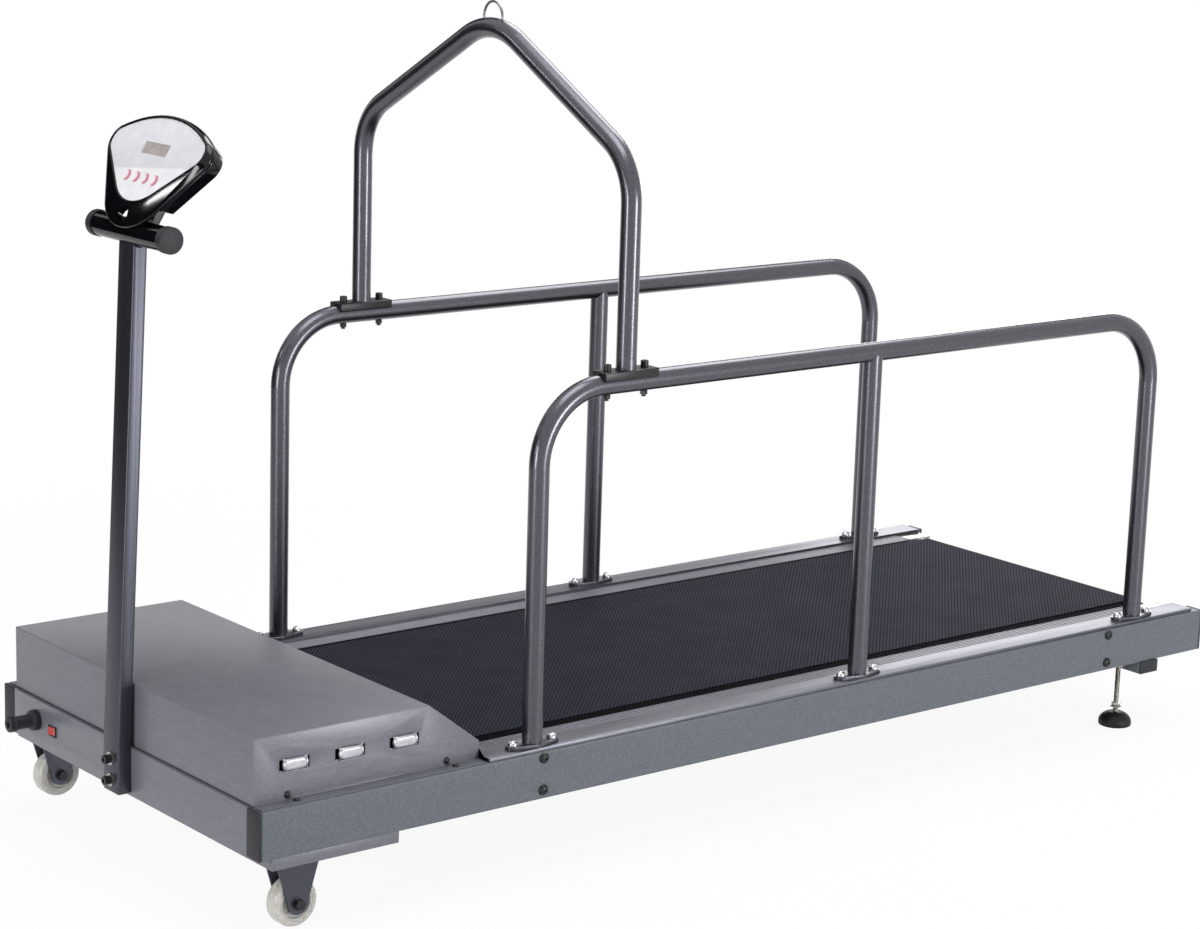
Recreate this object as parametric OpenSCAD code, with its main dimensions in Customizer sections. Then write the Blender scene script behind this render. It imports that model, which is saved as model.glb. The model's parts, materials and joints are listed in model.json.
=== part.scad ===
// Dog treadmill: a running belt between two box beams, a motor hood at the front,
// handrails on both sides, a leash arch across them and a console on a post.
// X runs from the front (motor) end to the rear, Y from left to right, Z up from the floor.
// Lengths are in millimetres and angles in degrees.

/* [Overall size] */
// Length of the side beams over their end caps
beam_l = 1790; // [1650:10:2100]
// Width over the outer faces of the side beams
frame_w = 670; // [640:5:760]
// Height of the beam underside above the floor
floor_gap = 104; // [98:1:130]

/* [Frame tubes] */
// Height of a side beam
beam_h = 65; // [60:1:80]
// Width of a side beam
beam_w = 30; // [29:1:40]
// Wall of the beams and crossmembers
frame_wall = 2; // [1.5:0.1:3]
// Thickness of the plastic end caps
end_cap_t = 3; // [2:0.5:6]
// Length of a crossmember section along the machine
cross_w = 40; // [30:1:50]
// Height of a crossmember section
cross_h = 20; // [16:1:24]
// Centre of the front deck crossmember from the front end
front_cross_x = 448; // [430:1:520]
// Centre of the rear deck crossmember from the rear end
rear_cross_inset = 224; // [205:1:300]
// Centre of the foot crossmember from the rear end
foot_cross_inset = 124; // [100:1:128]

/* [Front end plate and motor tray] */
// Thickness of the end plate and tray sheet
plate_t = 2; // [1.5:0.1:3]
// Depth of the end plate's top and bottom flanges
plate_flange_w = 18; // [12:1:19]
// Front edge of the motor tray from the front end
tray_x = 20; // [20:1:30]
// Length of the motor tray
tray_l = 194; // [180:1:240]
// Depth of the motor tray below the beams
tray_drop = 16; // [12:1:20]

/* [Running deck and belt] */
// Thickness of the running deck
deck_t = 18; // [15:1:20]
// Height of the running deck over the beams
deck_rise = 2; // [1:0.5:4]
// Thickness of the running belt
belt_t = 2; // [1.5:0.1:2.6]
// Gap between the belt's edge and the foot rail
belt_gap = 17; // [10:1:25]
// Diameter of the two rollers
roller_d = 44; // [42:1:50]
// Wall of the roller tubes
roller_wall = 3; // [2:0.5:5]
// Diameter of the fixed roller axles
roller_axle_d = 12; // [10:0.5:14]
// Front roller axle from the front end
front_roller_x = 300; // [280:1:304]
// Rear roller axle from the rear end
rear_roller_inset = 57; // [50:1:70]

/* [Foot rails] */
// Width of a foot rail
rail_w = 76; // [72:1:86]
// Thickness of a foot rail's flat outer strip
rail_t = 5; // [4:0.5:8]
// Thickness of its grooved inner strip
rail_strip_t = 1.6; // [1.5:0.1:3]
// Width of its flat outer strip
rail_flat_w = 40; // [38:1:46]
// Width of the grooves in its inner strip
groove_w = 3; // [2:0.5:4]
// Spacing of the grooves
groove_pitch = 6; // [5:0.5:9]

/* [Drive] */
// Diameter of the motor
motor_d = 90; // [70:1:100]
// Length of the motor
motor_l = 150; // [110:1:180]
// Motor axis from the front end
motor_x = 115; // [100:1:130]
// Diameter of the motor shaft
motor_shaft_d = 12; // [8:0.5:16]
// Diameter of the flywheel
flywheel_d = 96; // [80:1:98]
// Diameter of the motor pulley
motor_pulley_d = 30; // [24:1:40]
// Diameter of the roller pulley
roller_pulley_d = 84; // [70:1:86]
// Width of both pulleys
pulley_w = 18; // [14:1:20]
// Thickness of the drive belt
drive_belt_t = 3; // [2:0.5:4]

/* [Motor hood] */
// Front face of the hood from the front end
hood_x = 6; // [3:0.5:14]
// End of the hood's flat top from the front end
hood_top_end = 275; // [240:1:300]
// Rear edge of the hood from the front end
hood_end = 357; // [352:1:370]
// Height of the hood above the beams
hood_h = 88; // [75:1:120]
// Height of the hood's rear edge above the beams
hood_rear_h = 26; // [22:1:40]
// Inset of the hood's side walls from the beams' outer faces
hood_inset = 24; // [20:0.5:26]
// Sheet thickness of the hood
hood_t = 1.5; // [1:0.1:2.5]
// Width of the hood's outward bottom flange
hood_flange_w = 20; // [16:0.5:20]
// Length of a vent slot
slot_l = 45; // [40:1:60]
// Height of a vent slot
slot_h = 17; // [10:0.5:20]
// Spacing of the vent slots along the hood
slot_pitch = 84.5; // [75:0.5:90]

/* [Handrails] */
// Outside diameter of the handrail and arch tubes
tube_d = 28; // [25:0.5:30]
// Wall of the handrail and arch tubes
tube_wall = 2; // [1.5:0.1:3]
// Height of the top rail's axis above the base plates
handrail_h = 477; // [300:1:600]
// Bend radius of the handrail corners
handrail_bend_r = 100; // [60:1:130]
// Front post of a handrail from the front end
handrail_front_x = 444; // [430:1:480]
// Rear post of a handrail from the rear end
handrail_rear_inset = 147; // [120:1:200]
// Inset of the handrails from the beams' outer faces
handrail_inset = 22; // [21.5:0.1:23]
// Length of a post's base plate
base_plate_l = 86; // [80:1:100]
// Width of a post's base plate
base_plate_w = 34; // [30:1:36]
// Thickness of a post's base plate
base_plate_t = 5; // [3:0.5:8]
// Distance between the two bolts of a base plate
base_bolt_spread = 65; // [60:1:70]

/* [Leash arch] */
// Arch from the front end
arch_x = 586; // [570:1:800]
// Height of the arch's shoulders above the top rails' axis
arch_shoulder_h = 292; // [200:1:400]
// Rise of the arch from its shoulders to its peak
arch_rise = 171; // [120:1:230]
// Bend radius of the shoulders
arch_shoulder_r = 90; // [60:1:110]
// Bend radius of the peak
arch_peak_r = 120; // [80:1:150]
// Length of a saddle on the top rail
saddle_l = 92; // [80:1:110]
// Width of a saddle
saddle_w = 30; // [29:0.5:34]
// Thickness of a saddle over the top rail
saddle_t = 4; // [3:0.5:8]
// Distance between the two bolts of a saddle
saddle_bolt_spread = 64; // [52:1:74]
// Width of the leash eye between its wire centres
eye_w = 42; // [30:1:60]
// Height of the leash eye over the arch
eye_h = 24; // [24:1:50]
// Wire diameter of the leash eye
eye_wire_d = 3.5; // [2.5:0.1:6]

/* [Console post] */
// Width of the post
post_w = 40; // [30:1:60]
// Depth of the post
post_depth = 20; // [18:1:30]
// Wall of the post and crossbar
post_wall = 2; // [1.5:0.1:3]
// Height of the post's bend above the beam underside
post_bend_h = 71; // [66:1:120]
// Backward lean of the post above its bend
post_lean = 2.3; // [0:0.1:6]
// Height of the crossbar's axis above the beam underside
crossbar_h = 751; // [500:1:900]
// Diameter of the crossbar
crossbar_d = 33; // [28:0.5:36]
// Length of the crossbar over its caps
crossbar_l = 190; // [140:1:300]

/* [Console] */
// Lean of the console face from upright
console_tilt = 32; // [20:1:50]
// Width of the console
console_w = 246; // [230:1:260]
// Height of the console along its face
console_h = 161; // [155:1:170]
// Thickness of the bezel
bezel_t = 10; // [9:0.5:14]
// Depth of the back shell behind the bezel
shell_depth = 21; // [18:1:30]
// Wall of the back shell
shell_wall = 2.5; // [1.5:0.1:4]
// Thickness of the white face plate
face_t = 3; // [2:0.5:4]
// Width of the display window
display_w = 60; // [40:1:70]
// Height of the display window
display_h = 16.5; // [10:0.5:24]
// Diameter of the crescent buttons
button_d = 14; // [12:0.1:15]
// Spacing of the buttons
button_pitch = 22.5; // [18:0.5:24]
// Travel of a button
button_travel = 1; // [0.6:0.1:1.5]
// Diameter of the hole at the console's tip
tip_hole_d = 21; // [12:0.5:24]

/* [Power inlet and switch] */
// Distance of the power gland from the beam beside it
gland_inset = 65; // [40:1:77]
// Height of the power gland above the beam underside
gland_h = 36; // [26:1:40]
// Reach of the power gland in front of the end plate
gland_reach = 45; // [38:1:70]
// Bore of the power gland
gland_bore_d = 8.4; // [6:0.1:10]
// Distance of the rocker switch from the beam beside it
switch_inset = 110; // [100:1:185]
// Height of the rocker switch above the beam underside
switch_h = 31; // [20:1:42]
// Length of the rocker switch's bezel
switch_l = 21; // [20:0.5:30]
// Height of the rocker switch's bezel
switch_w = 15; // [14:0.5:20]

/* [Casters] */
// Caster axle from the front end
caster_x = 66; // [60:1:90]
// Inset of a caster from the beam's outer face
caster_inset = 27; // [22:1:60]
// Diameter of a caster wheel
wheel_d = 65; // [50:1:70]
// Width of a caster wheel
wheel_w = 24; // [18:1:30]
// Diameter of a caster axle
caster_axle_d = 8; // [6:0.5:10]

/* [Levelling feet] */
// Levelling foot from the rear end
foot_rear_inset = 170; // [166:1:200]
// Inset of a foot from the beam's outer face
foot_side_inset = 21; // [14:0.5:22]
// Diameter of a foot pad
pad_d = 52; // [36:1:60]
// Height of a foot pad
pad_h = 22; // [16:1:26]
// Diameter of the foot's stud
stud_d = 8; // [6:0.5:10]

/* [Fasteners] */
// Diameter of the bolts through the beams and the post
frame_bolt_d = 8; // [6:0.5:8]
// Diameter of the base plate and saddle bolts
rail_bolt_d = 6; // [5:0.5:6.5]
// Diameter of the hood screws
hood_screw_d = 5; // [4:0.5:6]

/* [Fits] */
// Radial room round a turning or sliding shaft
run_gap = 0.05; // [0.02:0.01:0.1]
// Radial room round a bolt, plug or insert that stays put
hole_gap = 0.1; // [0.05:0.01:0.2]
// Room between a moving piece and what it passes
move_gap = 0.3; // [0.3:0.05:0.5]

/* [Hidden] */
$fn = 64;
outline_fn = 40;
arc_steps = 16;

// Overrun of every cut past the face that it opens
over = 1;

// Share of a nut's width over its flats that lies between its corners
nut_corner_share = 1 / cos(30);

// Paints and bare materials
beam_grey = "#6d757b";
hood_grey = "#77777d";
tube_grey = "#55565d";
post_grey = "#4f5058";
cap_grey = "#3a3a40";
black = "#1d1d20";
belt_black = "#33333a";
deck_black = "#26262a";
aluminium = "#c9c8d2";
steel = "#a8abb0";
zinc = "#c4c6c8";
white = "#ebebe9";
cream = "#ded8c6";

// Levels and planes of the frame
beam_z = floor_gap;
beam_top = beam_z + beam_h;
beam_out = frame_w / 2;
beam_in = beam_out - beam_w;
beam_y = beam_out - beam_w / 2;
origin_x = (beam_l - gland_reach) / 2;
plug_l = 12;
plug_gap = 0.2;

// Crossmembers and the bolts that hold them to the beams
rear_cross_x = beam_l - rear_cross_inset;
foot_cross_x = beam_l - foot_cross_inset;
deck_top = beam_top + deck_rise;
deck_z = deck_top - deck_t;
cross_plate_t = 4;
cross_plate_inset = 4.5;
frame_bolt_low = 12;
frame_bolt_high_inset = 8;
frame_bolt_heights = [beam_z + frame_bolt_low, beam_top - frame_bolt_high_inset];
frame_bolt_tail = 8;
frame_head_d = 15;
frame_head_h = 5.5;
frame_nut_w = 13;
frame_nut_h = 6.5;

// Tray, its motor saddles and the motor controller on it
tray_z = beam_z - tray_drop;
tray_floor = tray_z + plate_t;
tray_side_inset = 1;
tray_out = beam_out - tray_side_inset;
motor_saddle_l = 60;
motor_saddle_w = 6;
motor_saddle_h = 30;
motor_saddle_inset = 20;
motor_lift = 6;
controller_x = 40;
controller_l = 140;
controller_w = 170;
controller_h = 30;
controller_y = -250;
fin_t = 3;
fin_h = 8;
fin_pitch = 11;

// Rollers, belt and deck
rail_out_inset = 4;
rail_out = beam_out - rail_out_inset;
rail_in = rail_out - rail_w;
rail_flat_in = rail_out - rail_flat_w;
rail_top = beam_top + rail_t;
rail_strip_top = beam_top + rail_strip_t;
belt_w = 2 * (rail_in - belt_gap);
deck_side_gap = 1;
deck_w = 2 * (rail_in - deck_side_gap);
roller_overhang = 10;
roller_l = belt_w + 2 * roller_overhang;
roller_z = deck_top - move_gap - roller_d / 2;
roller_plug_l = 20;
rear_roller_x = beam_l - rear_roller_inset;
roller_xs = [front_roller_x, rear_roller_x];
deck_front_gap = 50;
deck_rear_gap = 33;
deck_x = front_roller_x + deck_front_gap;
deck_end = rear_roller_x - deck_rear_gap;
axle_end_gap = 1;

// Axle blocks: plain ones at the front, long adjusters with a bolt at the rear
front_block_l = 40;
front_block_w = 20;
rear_block_w = 45;
rear_block_ahead = 21;
rear_block_behind = 33;
adjuster_y = beam_in - rear_block_w / 2;
adjuster_head_d = 13;
adjuster_head_h = 6;

// Foot rails
rail_hood_gap = 3;
rail_x = hood_end + rail_hood_gap;
rail_end_inset = 22;
rail_end = beam_l - rail_end_inset;
rail_notch_x = rear_roller_x - rear_block_ahead;
groove_depth = 0.8;
groove_margin = 2;
groove_count = floor((rail_w - rail_flat_w - groove_margin) / groove_pitch);

// Drive train along the motor shaft, from the pulleys inwards
pulley_block_gap = 3;
pulley_y1 = beam_in - front_block_w - pulley_block_gap;
pulley_y0 = pulley_y1 - pulley_w;
pulley_hub_d = 36;
pulley_neck_l = 8;
pulley_neck_d = 24;
flywheel_w = 25;
flywheel_y1 = pulley_y0 - pulley_neck_l;
flywheel_y0 = flywheel_y1 - flywheel_w;
motor_flywheel_gap = 15;
motor_y1 = flywheel_y0 - motor_flywheel_gap;
motor_y0 = motor_y1 - motor_l;
motor_boss_d = 36;
motor_boss_l = 8;
motor_z = tray_floor + motor_lift + motor_d / 2;
shaft_tail = 12;
shaft_tip = 1;
drive_belt_margin = 2;

// Hood outline, vents and screws
hood_y = beam_out - hood_inset;
hood_in = hood_y - hood_t;
hood_top = beam_top + hood_h;
hood_rear_top = beam_top + hood_rear_h;
hood_lip_h = 14;
hood_slope_dx = hood_end - hood_top_end;
hood_slope_dz = hood_h - hood_rear_h;
hood_slope_l = sqrt(pow(hood_slope_dx, 2) + pow(hood_slope_dz, 2));
slot_x = 67;
slot_rise = 47;
slot_z = beam_top + slot_rise;
slot_count = 3;
louvre_l = 36;
louvre_rise = 4;
louvre_t = 1;
louvre_lap = 5;
louvre_h = slot_h - 2 * move_gap;
hood_screw_margin = 10;
flange_screw_front = 58;
flange_screw_rear = 45;
flange_screw_xs = [hood_x + flange_screw_front, hood_end - flange_screw_rear];
wall_screw_front = 50;
wall_screw_rear = 53;
wall_screw_xs = [hood_x + wall_screw_front, hood_end - wall_screw_rear];
wall_screw_h = 8;
hood_head_d = 10;
hood_head_h = 3.5;
hood_screw_l = 10;
hood_nut_w = 8;
hood_nut_h = 3;

// A bend stands a hair proud of the straight tube that is seated in its ends
bend_swell = 0.06;
bend_seat = 0.5;

// Handrails, base plates and their bolts
handrail_y = beam_out - handrail_inset;
handrail_rear_x = beam_l - handrail_rear_inset;
handrail_mid_x = (handrail_front_x + handrail_rear_x) / 2;
post_xs = [handrail_front_x, handrail_mid_x, handrail_rear_x];
post_foot_z = rail_top + base_plate_t;
handrail_z = post_foot_z + handrail_h;
rail_head_d = 11;
base_head_d = 14;
base_head_h = 7;
base_bolt_tail = 3;
rail_nut_w = 9.5;
rail_nut_h = 5;

// Leash arch: straight legs, two shoulder bends, two slopes and a peak bend
arch_slope = atan(arch_rise / handrail_y);
arch_turn = 90 - arch_slope;
shoulder_run = arch_shoulder_r * tan(arch_turn / 2);
peak_run = arch_peak_r * tan(arch_slope);
arch_foot_z = handrail_z + tube_d / 2 + saddle_t;
peak_z = handrail_z + arch_shoulder_h + arch_rise - arch_peak_r / cos(arch_slope);
slope_l = handrail_y / cos(arch_slope) - shoulder_run - peak_run;
saddle_wrap = 8;
arch_head_h = 9;
arch_bolt_tail = 3;
peak_out_r = arch_peak_r + tube_d / 2;
eye_r = eye_w / 2;
eye_z = peak_z + peak_out_r + eye_h - eye_wire_d / 2 - eye_r;
eye_foot_y = eye_r - eye_wire_d / 2;
eye_foot_z = peak_z + sqrt(pow(peak_out_r, 2) - pow(eye_foot_y, 2)) + hole_gap;

// Console post, crossbar and their bolts
post_foot_h = 2;
post_foot = beam_z + post_foot_h;
post_bend_z = beam_z + post_bend_h;
crossbar_z = beam_z + crossbar_h;
post_shift = tan(post_lean) * (crossbar_h - post_bend_h);
crossbar_x = post_shift - post_depth / 2;
bar_cap_l = 12;
bar_cap_t = 4;
bar_cap_wall = 1;
post_bolt_low = 19.5;
post_bolt_high_inset = 16;
post_bolt_heights = [beam_z + post_bolt_low, beam_top - post_bolt_high_inset];
post_head_d = 12;
post_head_h = 9;
post_socket_d = 6;
post_socket_depth = 5;
post_washer_d = 18;
post_washer_t = 2;

// Console outline: two corners, a round tip and a broad crown, measured up the face from the tip
crossbar_up = 5;
crossbar_back = 18.7;
corner_r = 26;
tip_r = 85;
tip_reach = 45;
crown_r = 232;
bezel_flank_t = 4;
bezel_rim = 4;
face_side = 11;
face_top = 6;
face_corner_r = 18;
face_tip_t = 36;
face_tip_r = 72;
face_crown_r = 225;
face_recess = 1.5;
face_ledge = 4;
face_z = bezel_t - face_recess - face_t;
shell_low_t = 34;
shell_draft = 6;
tip_hole_t = 17;
display_t = 111;
display_recess = 0.5;
button_t = 69;
button_rise = 1.2;
button_cut_d = 12.6;
button_cut_shift = 3.8;
button_count = 4;
board_half_w = 48;
board_low_t = 60;
board_high_t = 128;
board_t = 1.6;
bracket_w = 50;
bracket_low_t = 5;
bracket_high_t = 70;
bracket_t = 12;

// Power gland, from the plate outwards, and the rocker switch
gland_y = beam_in - gland_inset;
gland_z = beam_z + gland_h;
gland_thread_d = 16;
gland_flange_d = 29;
gland_flange_l = 10;
gland_body_d = 20;
gland_grip_l = 12;
gland_grip_d = 23;
gland_nut_w = 22;
gland_nut_h = 6;
gland_tail = 3;
switch_y = beam_in - switch_inset;
switch_z = beam_z + switch_h;
switch_bezel_t = 2;
switch_lip = 0.8;
switch_wall = 0.9;
switch_depth = 16;
switch_back_t = 2;
switch_body_l = switch_l - 2 * switch_lip;
switch_body_w = switch_w - 2 * switch_lip;
rocker_pivot = 2;
rocker_rest = 9;
rocker_end_gap = 1.1;
rocker_half_l = switch_body_l / 2 - switch_wall - rocker_end_gap;
rocker_w = switch_body_w - 2 * switch_wall - 2 * move_gap;
rocker_end_h = 4.2;
rocker_mid_h = 2.6;
rocker_foot_h = 3;
rocker_foot_share = 0.85;
trunnion_d = 2.4;

// Casters
caster_y = beam_out - caster_inset;
wheel_r = wheel_d / 2;
wheel_edge_r = 5;
wheel_recess_in_r = 10;
wheel_recess_out_r = 21;
wheel_recess = 4;
ear_gap = 1;
ear_t = 3;
ear_r = 15;
caster_plate_l = 64;
caster_plate_t = 3;
caster_plate_w = wheel_w + 2 * ear_gap + 2 * ear_t;
caster_head_w = 13;
caster_head_h = 7;

// Levelling feet
foot_x = beam_l - foot_rear_inset;
foot_y = beam_out - foot_side_inset;
pad_rim_h = 6;
pad_neck_d = 18;
pad_socket = 10;
stud_reach = 36;
stud_top = beam_z + stud_reach;
foot_nut_w = 13;
foot_nut_h = 8;
foot_flange_d = 18;
foot_flange_t = 2;
lock_nut_lift = 8;

// Moves the model so that the middle of its footprint is the origin
module placed() {
  translate([-origin_x, 0, 0]) children();
}

// Draws a right-hand piece again on the left
module both_sides() {
  children();
  left_side() children();
}

module left_side() {
  mirror([0, 1, 0]) children();
}

// A box between two opposite corners
module block(low, high) {
  translate(low) cube(high - low);
}

// A round bar along X from the origin
module bar_x(d, l) {
  rotate([0, 90, 0]) cylinder(d = d, h = l);
}

// A round bar along Y from the origin
module bar_y(d, l) {
  rotate([-90, 0, 0]) cylinder(d = d, h = l);
}

// A screw with a flat head on z = 0 and its shank below
module screw(d, l, head_d, head_h) {
  translate([0, 0, -l]) cylinder(d = d, h = l + head_h / 2);
  cylinder(d = head_d, h = head_h);
}

// A screw with a domed head on z = 0 and its shank below
module domed_screw(d, l, head_d, head_h) {
  dome_r = (pow(head_d / 2, 2) + pow(head_h, 2)) / (2 * head_h);
  translate([0, 0, -l]) cylinder(d = d, h = l + head_h / 2);
  rotate_extrude() intersection() {
    translate([0, head_h - dome_r]) circle(r = dome_r);
    square([head_d / 2, head_h]);
  }
}

// A hexagon nut that stands on z = 0
module nut(d, w, h) {
  difference() {
    cylinder(d = w * nut_corner_share, h = h, $fn = 6);
    translate([0, 0, -over]) cylinder(d = d + 2 * run_gap, h = h + 2 * over);
  }
}

// A hole for a screw, from z = 0 down
module screw_hole(d, l) {
  translate([0, 0, -l]) cylinder(d = d + 2 * hole_gap, h = l);
}

// A cap for a box tube: its plate from x = 0, its plug behind it
module box_cap(w, h) {
  plug_w = w - 2 * frame_wall - 2 * plug_gap;
  plug_h = h - 2 * frame_wall - 2 * plug_gap;
  block([0, -w / 2, -h / 2], [end_cap_t, w / 2, h / 2]);
  block([end_cap_t / 2, -plug_w / 2, -plug_h / 2], [end_cap_t + plug_l, plug_w / 2, plug_h / 2]);
}

// Places of the bolts that hold the deck crossmembers to the right-hand beam
module at_frame_bolts() {
  for (x = [front_cross_x, rear_cross_x], z = frame_bolt_heights)
    translate([x, beam_out, z]) rotate([-90, 0, 0]) children();
}

// Places of the base plate bolts on the right-hand side, on top of the plates
module at_base_bolts() {
  for (x = post_xs, side = [-1, 1])
    translate([x + side * base_bolt_spread / 2, handrail_y, post_foot_z]) children();
}

// Places of the saddle bolts on the right-hand top rail, on top of the saddle
module at_saddle_bolts() {
  for (side = [-1, 1])
    translate([arch_x + side * saddle_bolt_spread / 2, handrail_y, arch_foot_z]) children();
}

// Places of the screws through the hood's right-hand flange
module at_flange_screws() {
  for (x = flange_screw_xs)
    translate([x, hood_y + hood_screw_margin, beam_top + hood_t]) children();
}

// Places of the screws through the foot of the hood's right-hand wall
module at_wall_screws() {
  for (x = wall_screw_xs)
    translate([x, hood_y, beam_top + wall_screw_h]) rotate([-90, 0, 0]) children();
}

// Places of the bolts through the console post, on its washers
module at_post_bolts() {
  for (z = post_bolt_heights)
    translate([-post_depth - post_washer_t, 0, z]) rotate([0, -90, 0]) children();
}

module at_foot() {
  translate([foot_x, foot_y, 0]) children();
}

// Frame

module side_beam() {
  base_hole_l = post_foot_z - beam_top + frame_wall + over;
  difference() {
    block([end_cap_t, beam_in, beam_z], [beam_l - end_cap_t, beam_out, beam_top]);
    block([0, beam_in + frame_wall, beam_z + frame_wall],
          [beam_l, beam_out - frame_wall, beam_top - frame_wall]);
    at_frame_bolts() translate([0, 0, over]) screw_hole(frame_bolt_d, beam_w + 2 * over);
    at_base_bolts() screw_hole(rail_bolt_d, base_hole_l);
    at_flange_screws() screw_hole(hood_screw_d, hood_t + frame_wall + over);
    at_foot() translate([0, 0, beam_z - over]) cylinder(d = stud_d + 2 * move_gap, h = frame_wall + 2 * over);
  }
}

module side_beam_left() {
  color(beam_grey) placed() left_side() side_beam();
}

module side_beam_right() {
  color(beam_grey) placed() side_beam();
}

// Plugs of the beams and of the foot crossmember, and sleeve caps of the crossbar
module tube_end_caps() {
  color(cap_grey) placed() both_sides() {
    translate([0, beam_y, beam_z + beam_h / 2]) box_cap(beam_w, beam_h);
    translate([beam_l, beam_y, beam_z + beam_h / 2]) mirror([1, 0, 0]) box_cap(beam_w, beam_h);
    translate([foot_cross_x, beam_out + end_cap_t, beam_z - cross_h / 2])
      rotate([0, 0, -90]) box_cap(cross_w, cross_h);
    translate([crossbar_x, crossbar_l / 2, crossbar_z]) rotate([90, 0, 0]) difference() {
      cylinder(d = crossbar_d + 2 * hole_gap + 2 * bar_cap_wall, h = bar_cap_l);
      translate([0, 0, bar_cap_t]) cylinder(d = crossbar_d + 2 * hole_gap, h = bar_cap_l);
    }
  }
}

module front_end_plate() {
  color(hood_grey) placed() difference() {
    union() {
      block([0, -beam_in, beam_z], [plate_t, beam_in, beam_top]);
      block([0, -beam_in, beam_z], [plate_flange_w, beam_in, beam_z + plate_t]);
      block([0, -beam_in, beam_top - plate_t], [plate_flange_w, beam_in, beam_top]);
    }
    at_post_bolts() screw_hole(frame_bolt_d, post_washer_t + post_depth + plate_t + over);
    translate([-over, gland_y, gland_z]) bar_x(gland_thread_d + 2 * hole_gap, plate_t + 2 * over);
    translate([-over, switch_y, switch_z]) block(
      [0, -switch_body_l / 2 - hole_gap, -switch_body_w / 2 - hole_gap],
      [plate_t + 2 * over, switch_body_l / 2 + hole_gap, switch_body_w / 2 + hole_gap]);
  }
}

// Open pan under the front of the beams, with two welded cradles for the motor
module motor_tray() {
  color(hood_grey) placed() {
    difference() {
      block([tray_x, -tray_out, tray_z], [tray_x + tray_l, tray_out, beam_z]);
      block([tray_x + plate_t, -tray_out + plate_t, tray_floor],
            [tray_x + tray_l - plate_t, tray_out - plate_t, beam_z + over]);
    }
    for (y = [motor_y0 + motor_saddle_inset, motor_y1 - motor_saddle_inset - motor_saddle_w]) difference() {
      block([motor_x - motor_saddle_l / 2, y, tray_z],
            [motor_x + motor_saddle_l / 2, y + motor_saddle_w, tray_floor + motor_saddle_h]);
      translate([motor_x, y - over, motor_z]) bar_y(motor_d + 2 * hole_gap, motor_saddle_w + 2 * over);
    }
  }
}

module deck_crossmembers() {
  half_l = beam_in - cross_plate_t / 2;
  color(beam_grey) placed() for (x = [front_cross_x, rear_cross_x]) difference() {
    union() {
      block([x - cross_w / 2, -half_l, deck_z - cross_h], [x + cross_w / 2, half_l, deck_z]);
      both_sides() block(
        [x - cross_w / 2, beam_in - cross_plate_t, beam_z + cross_plate_inset],
        [x + cross_w / 2, beam_in, beam_top - cross_plate_inset]);
    }
    block([x - cross_w / 2 + frame_wall, -half_l, deck_z - cross_h + frame_wall],
          [x + cross_w / 2 - frame_wall, half_l, deck_z - frame_wall]);
    both_sides() at_frame_bolts() screw_hole(frame_bolt_d, beam_w + cross_plate_t + over);
  }
}

module rear_foot_crossmember() {
  color(beam_grey) placed() difference() {
    block([foot_cross_x - cross_w / 2, -beam_out, beam_z - cross_h],
          [foot_cross_x + cross_w / 2, beam_out, beam_z]);
    block([foot_cross_x - cross_w / 2 + frame_wall, -beam_out - over, beam_z - cross_h + frame_wall],
          [foot_cross_x + cross_w / 2 - frame_wall, beam_out + over, beam_z - frame_wall]);
  }
}

module beam_bolts() {
  reach = beam_w + cross_plate_t;
  color(black) placed() both_sides() at_frame_bolts() {
    domed_screw(frame_bolt_d, reach + frame_bolt_tail, frame_head_d, frame_head_h);
    translate([0, 0, -reach - frame_nut_h]) nut(frame_bolt_d, frame_nut_w, frame_nut_h);
  }
}

// Running deck, belt and rollers

module running_deck() {
  color(deck_black) placed() block([deck_x, -deck_w / 2, deck_z], [deck_end, deck_w / 2, deck_top]);
}

// Side view of a loop round both rollers
module belt_outline(r) {
  for (x = roller_xs) translate([x, roller_z]) circle(r = r);
  translate([front_roller_x, roller_z - r]) square([rear_roller_x - front_roller_x, 2 * r]);
}

module running_belt() {
  inner_r = roller_d / 2 + move_gap;
  color(belt_black) placed() rotate([90, 0, 0]) linear_extrude(belt_w, center = true) difference() {
    belt_outline(inner_r + belt_t);
    belt_outline(inner_r);
  }
}

// Ribbed inner strip and flat outer strip, notched at the rear for the belt adjusters
module foot_rail() {
  difference() {
    union() {
      block([rail_x, rail_flat_in, beam_top], [rail_end, rail_out, rail_top]);
      block([rail_x, rail_in, beam_top], [rail_end, rail_flat_in + over, rail_strip_top]);
    }
    for (i = [0 : groove_count - 1]) {
      y = rail_in + groove_margin + i * groove_pitch;
      block([rail_x - over, y, rail_strip_top - groove_depth],
            [rail_end + over, y + groove_w, rail_strip_top + over]);
    }
    block([rail_notch_x, rail_in - over, beam_top - over], [rail_end + over, rail_flat_in, rail_top + over]);
    at_base_bolts() screw_hole(rail_bolt_d, base_plate_t + rail_t + over);
  }
}

module foot_rail_left() {
  color(aluminium) placed() left_side() foot_rail();
}

module foot_rail_right() {
  color(aluminium) placed() foot_rail();
}

// A tube with a bored plug in each end
module roller(x) {
  translate([x, -roller_l / 2, roller_z]) difference() {
    bar_y(roller_d, roller_l);
    translate([0, roller_plug_l, 0]) bar_y(roller_d - 2 * roller_wall, roller_l - 2 * roller_plug_l);
    translate([0, -over, 0]) bar_y(roller_axle_d + 2 * run_gap, roller_l + 2 * over);
  }
}

module front_roller() {
  color(steel) placed() roller(front_roller_x);
}

module rear_roller() {
  color(steel) placed() roller(rear_roller_x);
}

module roller_axles() {
  half_l = beam_in - axle_end_gap;
  color(zinc) placed() for (x = roller_xs)
    translate([x, -half_l, roller_z]) bar_y(roller_axle_d, 2 * half_l);
}

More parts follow.
